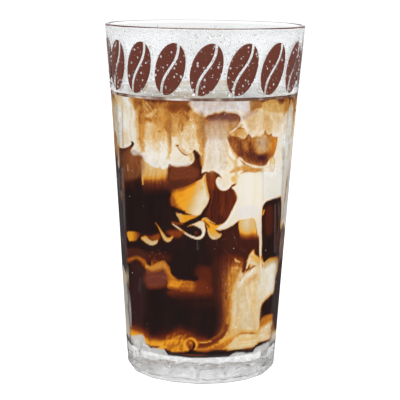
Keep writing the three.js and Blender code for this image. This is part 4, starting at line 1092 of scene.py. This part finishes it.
def ice_material():
    m, n, l = material("ice")
    out = n.new("ShaderNodeOutputMaterial")
    b = n.new("ShaderNodeBsdfPrincipled")
    b.inputs["IOR"].default_value = 1.31
    b.inputs["Transmission Weight"].default_value = 0.8
    b.inputs["Roughness"].default_value = 0.05
    noise = n.new("ShaderNodeTexNoise")
    noise.inputs["Scale"].default_value = 150
    noise.inputs["Detail"].default_value = 5
    rampn = n.new("ShaderNodeValToRGB")
    rampn.color_ramp.elements[0].position = 0.35
    rampn.color_ramp.elements[0].color = (0.88, 0.91, 0.94, 1)
    rampn.color_ramp.elements[1].position = 0.65
    rampn.color_ramp.elements[1].color = (0.98, 0.99, 1.0, 1)
    l.new(noise.outputs[0], rampn.inputs[0])
    l.new(rampn.outputs[0], b.inputs["Base Color"])
    bump = n.new("ShaderNodeBump")
    bump.inputs["Strength"].default_value = 0.25
    bump.inputs["Distance"].default_value = 0.0008
    l.new(noise.outputs[0], bump.inputs["Height"])
    l.new(bump.outputs[0], b.inputs["Normal"])
    t = n.new("ShaderNodeBsdfTransparent")
    lp = n.new("ShaderNodeLightPath")
    mix = n.new("ShaderNodeMixShader")
    l.new(lp.outputs["Is Shadow Ray"], mix.inputs[0])
    l.new(b.outputs[0], mix.inputs[1])
    l.new(t.outputs[0], mix.inputs[2])
    l.new(mix.outputs[0], out.inputs[0])
    return m


def make_ice():
    """Lumps of ice that float with their tops just above the drink."""
    n_t, n_p = 26, 48
    verts, quads, tris = [], [], []
    for k, (ix, iy, a, b, h, turn, tilt, proud) in enumerate(ICE):
        th = np.linspace(0, math.pi, n_t + 2)[1:-1]
        ph = np.linspace(0, 2 * math.pi, n_p, endpoint=False)
        T, Q = np.meshgrid(th, ph, indexing="ij")
        u = np.stack([np.sin(T) * np.cos(Q), np.sin(T) * np.sin(Q), np.cos(T)], -1)
        p = 7.0
        u = u / (np.abs(u) ** p).sum(-1, keepdims=True) ** (1 / p)
        u = u * (1 + 0.045 * fbm(u[..., 0] * 2 + 5 * k, u[..., 1] * 2 + u[..., 2] * 1.7, k))[..., None]
        pts = np.concatenate([u.reshape(-1, 3), [[0, 0, 1.0], [0, 0, -1.0]]]) * [a, b, h]
        R = np.array(Matrix.Rotation(math.radians(turn), 3, "Z") @ Matrix.Rotation(math.radians(tilt), 3, "X") @ Matrix.Rotation(math.radians(tilt * 0.7), 3, "Y"))
        pts = pts @ R.T
        pts += [ix, iy, LEVEL + proud - pts[:, 2].max()]
        base = sum(len(v) for v in verts)
        verts.append(pts)
        i, j = np.meshgrid(np.arange(n_t - 1), np.arange(n_p), indexing="ij")
        q = np.stack([i * n_p + j, (i + 1) * n_p + j, (i + 1) * n_p + (j + 1) % n_p, i * n_p + (j + 1) % n_p], -1).reshape(-1, 4)
        quads.append(q + base)
        jj = np.arange(n_p)
        tris.append(np.stack([np.full(n_p, n_t * n_p), jj, (jj + 1) % n_p], -1) + base)
        tris.append(np.stack([np.full(n_p, n_t * n_p + 1), (n_t - 1) * n_p + (jj + 1) % n_p, (n_t - 1) * n_p + jj], -1) + base)
    ob = raw_mesh("ice", np.concatenate(verts) * MM, np.concatenate(quads), np.concatenate(tris))
    ob.data.materials.append(ice_material())
    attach(ob, "root")
    return ob


# ------------------------------------------------------------------ printed band
BEAN_LONG, BEAN_WIDE, BEAN_SLIT = 10.9, 6.3, 0.55     # half length, half width, half slit
BEAN_Z, BEAN_STEP, BEAN_TILT = 133.4, 360 / FACETS, 17.0      # height, degrees from bean to bean, lean
LIP_LINE = 41.0                                        # where on the round of the lip, degrees
FAR_LINE = (104.0, 124.0)                              # the same on the far side, inside


def wrapped(phi, z, count, verts, quads, r=None):
    """A thin printed patch on the band from a grid of angles and heights."""
    r = outer_cone(z) if r is None else r
    n, m = z.shape
    for off in (0.035, -0.03):
        verts.append(polar(phi, r + off, z).reshape(-1, 3))
    i, j = np.meshgrid(np.arange(n - 1), np.arange(m - 1), indexing="ij")
    k = j + 1
    f = np.stack([i * m + j, i * m + k, (i + 1) * m + k, (i + 1) * m + j], -1).reshape(-1, 4)
    quads.append(f + count)
    quads.append(f[:, ::-1] + count + n * m)
    b = np.concatenate([np.arange(m), np.arange(1, n) * m + m - 1, (n - 1) * m + np.arange(m - 2, -1, -1), np.arange(n - 2, 0, -1) * m])
    e = np.roll(b, -1)
    quads.append(np.stack([b + n * m, e + n * m, e, b], -1) + count)
    return count + 2 * n * m


def make_print():
    """A plain row of coffee beans round the front of the band, and a hairline under the lip."""
    verts, quads, count = [], [], 0
    v = BEAN_LONG * np.sin(np.radians(np.linspace(-86, 86, 31)))
    w = BEAN_WIDE * np.sqrt(1 - (v / BEAN_LONG) ** 2)
    mid = 1.5 * np.sin(v / BEAN_LONG * 2.6)
    for k in range(-4, 5):
        lean = -math.radians(BEAN_TILT)
        for side in (-1, 1):
            a = np.where(side < 0, -w, np.minimum(mid + BEAN_SLIT, w - 0.02))
            b = np.where(side < 0, np.maximum(mid - BEAN_SLIT, -w + 0.02), w)
            t = np.linspace(0, 1, 9)[None, :]
            u = a[:, None] * (1 - t) + b[:, None] * t
            vv = v[:, None] + 0 * t
            x, z = u * math.cos(lean) - vv * math.sin(lean), BEAN_Z + u * math.sin(lean) + vv * math.cos(lean)
            phi = math.radians(1.0 + k * BEAN_STEP) + x / 41.1
            count = wrapped(phi, z, count, verts, quads)
    phi, t = np.meshgrid(np.radians(np.linspace(-179.9, 179.9, 260)), np.linspace(-1, 1, 4))
    a = np.radians(LIP_LINE + t * (9 + 14 * smooth(26, 56, np.degrees(np.abs(phi)))))      # thinner at the front
    count = wrapped(phi, HEIGHT - LIP + LIP * np.sin(a), count, verts, quads, OUTER[-1, 1] - LIP + LIP * np.cos(a))
    phi, a = np.meshgrid(np.radians(np.linspace(92, 268, 130)), np.radians(np.linspace(*FAR_LINE, 3)))
    count = wrapped(phi, HEIGHT - LIP + LIP * np.sin(a), count, verts, quads, OUTER[-1, 1] - LIP + LIP * np.cos(a))
    ob = raw_mesh("printed_band", np.concatenate(verts) * MM, np.concatenate(quads))
    m, n, l = material("brown_print")
    out = n.new("ShaderNodeOutputMaterial")
    b = n.new("ShaderNodeBsdfPrincipled")
    b.inputs["Roughness"].default_value = 0.38
    noise = n.new("ShaderNodeTexNoise")
    noise.inputs["Scale"].default_value = 900
    noise.inputs["Detail"].default_value = 4
    rp = n.new("ShaderNodeValToRGB")
    rp.color_ramp.elements[0].position = 0.3
    rp.color_ramp.elements[0].color = (0.092, 0.016, 0.006, 1)
    rp.color_ramp.elements[1].position = 0.72
    rp.color_ramp.elements[1].color = (0.160, 0.031, 0.012, 1)
    l.new(noise.outputs[0], rp.inputs[0])
    l.new(rp.outputs[0], b.inputs["Base Color"])
    l.new(b.outputs[0], out.inputs[0])
    ob.data.materials.append(m)
    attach(ob, "root")
    return ob


# ------------------------------------------------------------------ condensation
def make_drops():
    """Small flattened drops on the outside of the band, a few lower down."""
    rng = np.random.default_rng(5)
    n_band, n_low = 1900, 170
    phi = rng.uniform(0, 2 * math.pi, n_band + n_low)
    z = np.concatenate([rng.uniform(122.2, 147.4, n_band), rng.uniform(12, 118, n_low)])
    r = np.concatenate([0.12 + 0.40 * rng.random(n_band) ** 3.0, 0.10 + 0.16 * rng.random(n_low) ** 3])
    tall = 1 + 0.35 * rng.random(len(r))
    R = outer_cone(z) * (1 - (1 - facet_factor(phi)) * (1 - smooth(FACET_FULL - 1.6, FACET_TOP + 0.3, z)))
    o = np.stack([np.sin(phi), -np.cos(phi), 0 * phi], -1)
    t = np.stack([np.cos(phi), np.sin(phi), 0 * phi], -1)
    up = np.array([0, 0, 1.0])
    c = o * (R - 0.03)[:, None] + z[:, None] * up
    n_t, n_p = 3, 8
    rows = []
    for k in range(n_t):
        a = k / n_t * math.pi / 2
        for j in range(n_p):
            b = 2 * math.pi * j / n_p
            rows.append(c + (t * math.cos(b) + up * (math.sin(b) * tall)[:, None]) * (r * math.cos(a))[:, None] + o * (0.6 * r * math.sin(a))[:, None])
    rows.append(c + o * (0.6 * r)[:, None])
    rows.append(c)
    verts = np.stack(rows, 1).reshape(-1, 3)
    per = n_t * n_p + 2
    quad, tri = [], []
    for j in range(n_p):
        e = (j + 1) % n_p
        quad += [[k * n_p + j, k * n_p + e, (k + 1) * n_p + e, (k + 1) * n_p + j] for k in range(n_t - 1)]
        tri += [[n_t * n_p, (n_t - 1) * n_p + j, (n_t - 1) * n_p + e], [n_t * n_p + 1, e, j]]
    base = np.arange(len(r))[:, None, None] * per
    quads = (np.array(quad)[None] + base).reshape(-1, 4)
    tris = (np.array(tri)[None] + base).reshape(-1, 3)
    ob = raw_mesh("condensation", verts * MM, quads, tris)
    m, n, l = material("water_drops")
    out = n.new("ShaderNodeOutputMaterial")
    g = n.new("ShaderNodeBsdfPrincipled")
    g.inputs["Base Color"].default_value = (1, 1, 1, 1)
    g.inputs["Roughness"].default_value = 0.02
    g.inputs["IOR"].default_value = 1.33
    g.inputs["Transmission Weight"].default_value = 0.6
    t = n.new("ShaderNodeBsdfTransparent")
    lp = n.new("ShaderNodeLightPath")
    mix = n.new("ShaderNodeMixShader")
    l.new(lp.outputs["Is Shadow Ray"], mix.inputs[0])
    l.new(g.outputs[0], mix.inputs[1])
    l.new(t.outputs[0], mix.inputs[2])
    l.new(mix.outputs[0], out.inputs[0])
    ob.data.materials.append(m)
    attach(ob, "root")
    return ob


def make_mist():
    """Thin film of mist on the inside of the clear band, with painted shade towards the back."""
    phi = 2 * math.pi * np.arange(180) / 180
    zs = np.concatenate([np.linspace(LEVEL + 0.8, 148.8, 14), np.linspace(148.8, LEVEL + 0.8, 14)])
    rings = []
    for k, z in enumerate(zs):
        rings.append(polar(phi, np.full_like(phi, float(inner_wall(z)) - (0.03 if k < 14 else 0.06)), z))
    rings.append(rings[0])
    P = np.array(rings)
    n, m, _ = P.shape
    i, j = np.meshgrid(np.arange(n - 1), np.arange(m), indexing="ij")
    e = (i + 1) % (n - 1)
    quads = np.stack([i * m + j, i * m + (j + 1) % m, e * m + (j + 1) % m, e * m + j], -1).reshape(-1, 4)
    ob = raw_mesh("mist", P[:-1].reshape(-1, 3) * MM, quads)
    # painted shade: the mist is greyer along the far rim and darkest behind the middle
    x, y, z = P[:-1].reshape(-1, 3).T
    turn = np.arctan2(x, -y)
    away, n1 = np.degrees(np.abs(turn)), fbm(np.cos(turn) * 7, z / 6, 3)
    tone = 1 - 0.5 * smooth(95, 125, away) * smooth(142, 146, z)
    tone = tone + (0.12 - tone) * smooth(156, 168, away + 16 * n1) * smooth(130, 140, z + 9 * n1)
    paint_on(ob, 255 * np.stack([tone, tone, tone], -1))
    mt, nn, l = material("mist_film_with_painted_shade")
    out = nn.new("ShaderNodeOutputMaterial")
    b = nn.new("ShaderNodeBsdfPrincipled")
    b.inputs["Roughness"].default_value = 0.9
    b.inputs["Specular IOR Level"].default_value = 0.0
    b.inputs["Alpha"].default_value = 0.09
    noise = nn.new("ShaderNodeTexNoise")
    noise.inputs["Scale"].default_value = 75
    noise.inputs["Detail"].default_value = 6
    rp = nn.new("ShaderNodeValToRGB")
    rp.color_ramp.elements[0].position = 0.38
    rp.color_ramp.elements[0].color = (0.30, 0.32, 0.35, 1)
    rp.color_ramp.elements[1].position = 0.62
    rp.color_ramp.elements[1].color = (0.86, 0.88, 0.90, 1)
    at = nn.new("ShaderNodeAttribute")
    at.attribute_name = "paint"
    both = nn.new("ShaderNodeMix")
    both.data_type, both.blend_type = "RGBA", "MULTIPLY"
    both.inputs[0].default_value = 1.0
    l.new(noise.outputs[0], rp.inputs[0])
    l.new(rp.outputs[0], both.inputs[6])
    l.new(at.outputs["Color"], both.inputs[7])
    l.new(both.outputs[2], b.inputs["Base Color"])
    l.new(b.outputs[0], out.inputs[0])
    ob.data.materials.append(mt)
    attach(ob, "root")
    return ob


def make_haze():
    """Fine crackle that clouds the pressed glass of the foot, as a thin skin just inside it."""
    step = 2 * math.pi / FACETS
    phi = (np.arange(FACETS * 12) / 12) * step + math.radians(EDGE_DEG)
    ff = facet_factor(phi)
    heel = np.interp(HEEL_HEIGHT, OUTER[:, 0], OUTER[:, 1])
    top = 9.4 + 3.2 * fbm(phi * 4, 0 * phi, 6)
    skin = []
    for inset in (0.5, 0.7):
        side = []
        for a in np.radians(np.linspace(28, 90, 8)):
            side.append(polar(phi, (heel - HEEL_RADIAL * (1 - math.sin(a))) * ff - inset, HEEL_HEIGHT * (1 - math.cos(a)) + 0.25))
        for t in np.linspace(0.15, 1, 9):
            z = HEEL_HEIGHT + 0.25 + (top - HEEL_HEIGHT - 0.25) * t
            side.append(polar(phi, outer_cone(z) * ff - inset, z))
        skin += side if not skin else side[::-1]
    P = np.array(skin)
    n, m, _ = P.shape
    i, j = np.meshgrid(np.arange(n), np.arange(m), indexing="ij")
    e = (i + 1) % n
    quads = np.stack([i * m + j, i * m + (j + 1) % m, e * m + (j + 1) % m, e * m + j], -1).reshape(-1, 4)
    ob = raw_mesh("foot_haze", P.reshape(-1, 3) * MM, quads)
    mt, nn, l = material("crackle_haze")
    out = nn.new("ShaderNodeOutputMaterial")
    b = nn.new("ShaderNodeBsdfPrincipled")
    b.inputs["Roughness"].default_value = 0.9
    b.inputs["Specular IOR Level"].default_value = 0.0
    b.inputs["Alpha"].default_value = 0.12
    noise = nn.new("ShaderNodeTexNoise")
    noise.inputs["Scale"].default_value = 420
    noise.inputs["Detail"].default_value = 4
    noise.inputs["Distortion"].default_value = 1.6
    rp = nn.new("ShaderNodeValToRGB")
    rp.color_ramp.elements[0].position = 0.40
    rp.color_ramp.elements[0].color = (0.16, 0.16, 0.17, 1)
    rp.color_ramp.elements[1].position = 0.52
    rp.color_ramp.elements[1].color = (0.97, 0.97, 0.97, 1)
    l.new(noise.outputs[0], rp.inputs[0])
    l.new(rp.outputs[0], b.inputs["Base Color"])
    l.new(b.outputs[0], out.inputs[0])
    ob.data.materials.append(mt)
    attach(ob, "root")
    return ob


def camera():
    cam = bpy.data.cameras.new("camera")
    cam.sensor_width = 36
    cam.lens = 1522.0 / 400 * 36
    ob = bpy.data.objects.new("camera", cam)
    bpy.context.scene.collection.objects.link(ob)
    pitch, roll = math.radians(9.08), math.radians(0.71)
    ob.matrix_world = (Matrix.Translation((-1.26 * MM, -650 * MM, 178.1 * MM))
                       @ Matrix.Rotation(math.pi / 2 - pitch, 4, "X") @ Matrix.Rotation(roll, 4, "Z"))
    cam.clip_start = 0.01
    bpy.context.scene.camera = ob


def area(name, loc, target, size, power, colour=(1, 1, 1)):
    li = bpy.data.lights.new(name, "AREA")
    li.shape = "RECTANGLE"
    li.size, li.size_y = size
    li.energy = power
    li.color = colour
    ob = bpy.data.objects.new(name, li)
    bpy.context.scene.collection.objects.link(ob)
    ob.location = loc
    d = Vector(target) - Vector(loc)
    ob.rotation_euler = d.to_track_quat("-Z", "Y").to_euler()
    return ob


def stage():
    sc = bpy.context.scene
    sc.view_settings.view_transform = "Standard"
    w = bpy.data.worlds.new("studio")
    sc.world = w
    w.use_nodes = True
    n, l = w.node_tree.nodes, w.node_tree.links
    bg = n["Background"]
    co = n.new("ShaderNodeTexCoord")
    sep = n.new("ShaderNodeSeparateXYZ")
    l.new(co.outputs["Generated"], sep.inputs[0])
    low = n.new("ShaderNodeMapRange")       # below the horizon: dark in front, bright behind
    low.interpolation_type = "SMOOTHSTEP"
    low.inputs["From Min"].default_value = 0.35
    low.inputs["From Max"].default_value = 0.95
    low.inputs["To Min"].default_value = 0.01
    low.inputs["To Max"].default_value = 0.08
    l.new(sep.outputs[1], low.inputs["Value"])
    up = n.new("ShaderNodeMapRange")
    up.interpolation_type = "SMOOTHSTEP"
    up.inputs["From Min"].default_value = -0.12
    up.inputs["From Max"].default_value = -0.03
    l.new(sep.outputs[2], up.inputs["Value"])
    mix = n.new("ShaderNodeMix")
    mix.data_type = "FLOAT"
    l.new(up.outputs["Result"], mix.inputs[0])
    l.new(low.outputs["Result"], mix.inputs[2])
    high = n.new("ShaderNodeMapRange")      # above it: bright low down all round, softer overhead
    high.interpolation_type = "SMOOTHSTEP"
    high.inputs["From Min"].default_value = 0.20
    high.inputs["From Max"].default_value = 0.62
    high.inputs["To Min"].default_value = 1.06
    high.inputs["To Max"].default_value = 0.30
    l.new(sep.outputs[2], high.inputs["Value"])
    l.new(high.outputs["Result"], mix.inputs[3])
    l.new(mix.outputs[0], bg.inputs[0])
    bg.inputs[1].default_value = 1.0
    s = 30.0
    fl = raw_mesh("floor", np.array([[-s, -s, 0], [s, -s, 0], [s, s, 0], [-s, s, 0]]) + [0, 0, -0.0002], [[0, 1, 2, 3]], None, False)
    m, n, l = material("floor_white")
    out = n.new("ShaderNodeOutputMaterial")
    b = n.new("ShaderNodeBsdfPrincipled")
    b.inputs["Base Color"].default_value = (0.62, 0.62, 0.62, 1)
    b.inputs["Roughness"].default_value = 0.7
    b.inputs["Specular IOR Level"].default_value = 0.1
    b.inputs["Emission Color"].default_value = (1, 1, 1, 1)
    b.inputs["Emission Strength"].default_value = 0.78
    l.new(b.outputs[0], out.inputs[0])
    fl.data.materials.append(m)
    fl.visible_glossy = False
    area("key_left", (-0.75, -0.75, 0.95), (0, 0, 0.07), (0.8, 0.8), 5.1)
    area("key_right", (0.85, -0.65, 0.90), (0, 0, 0.07), (0.8, 0.8), 5.5)


glass = make_glass()
drink = make_drink()
make_surface()
make_ice()
make_print()
make_drops()
make_mist()
make_haze()
camera()
stage()
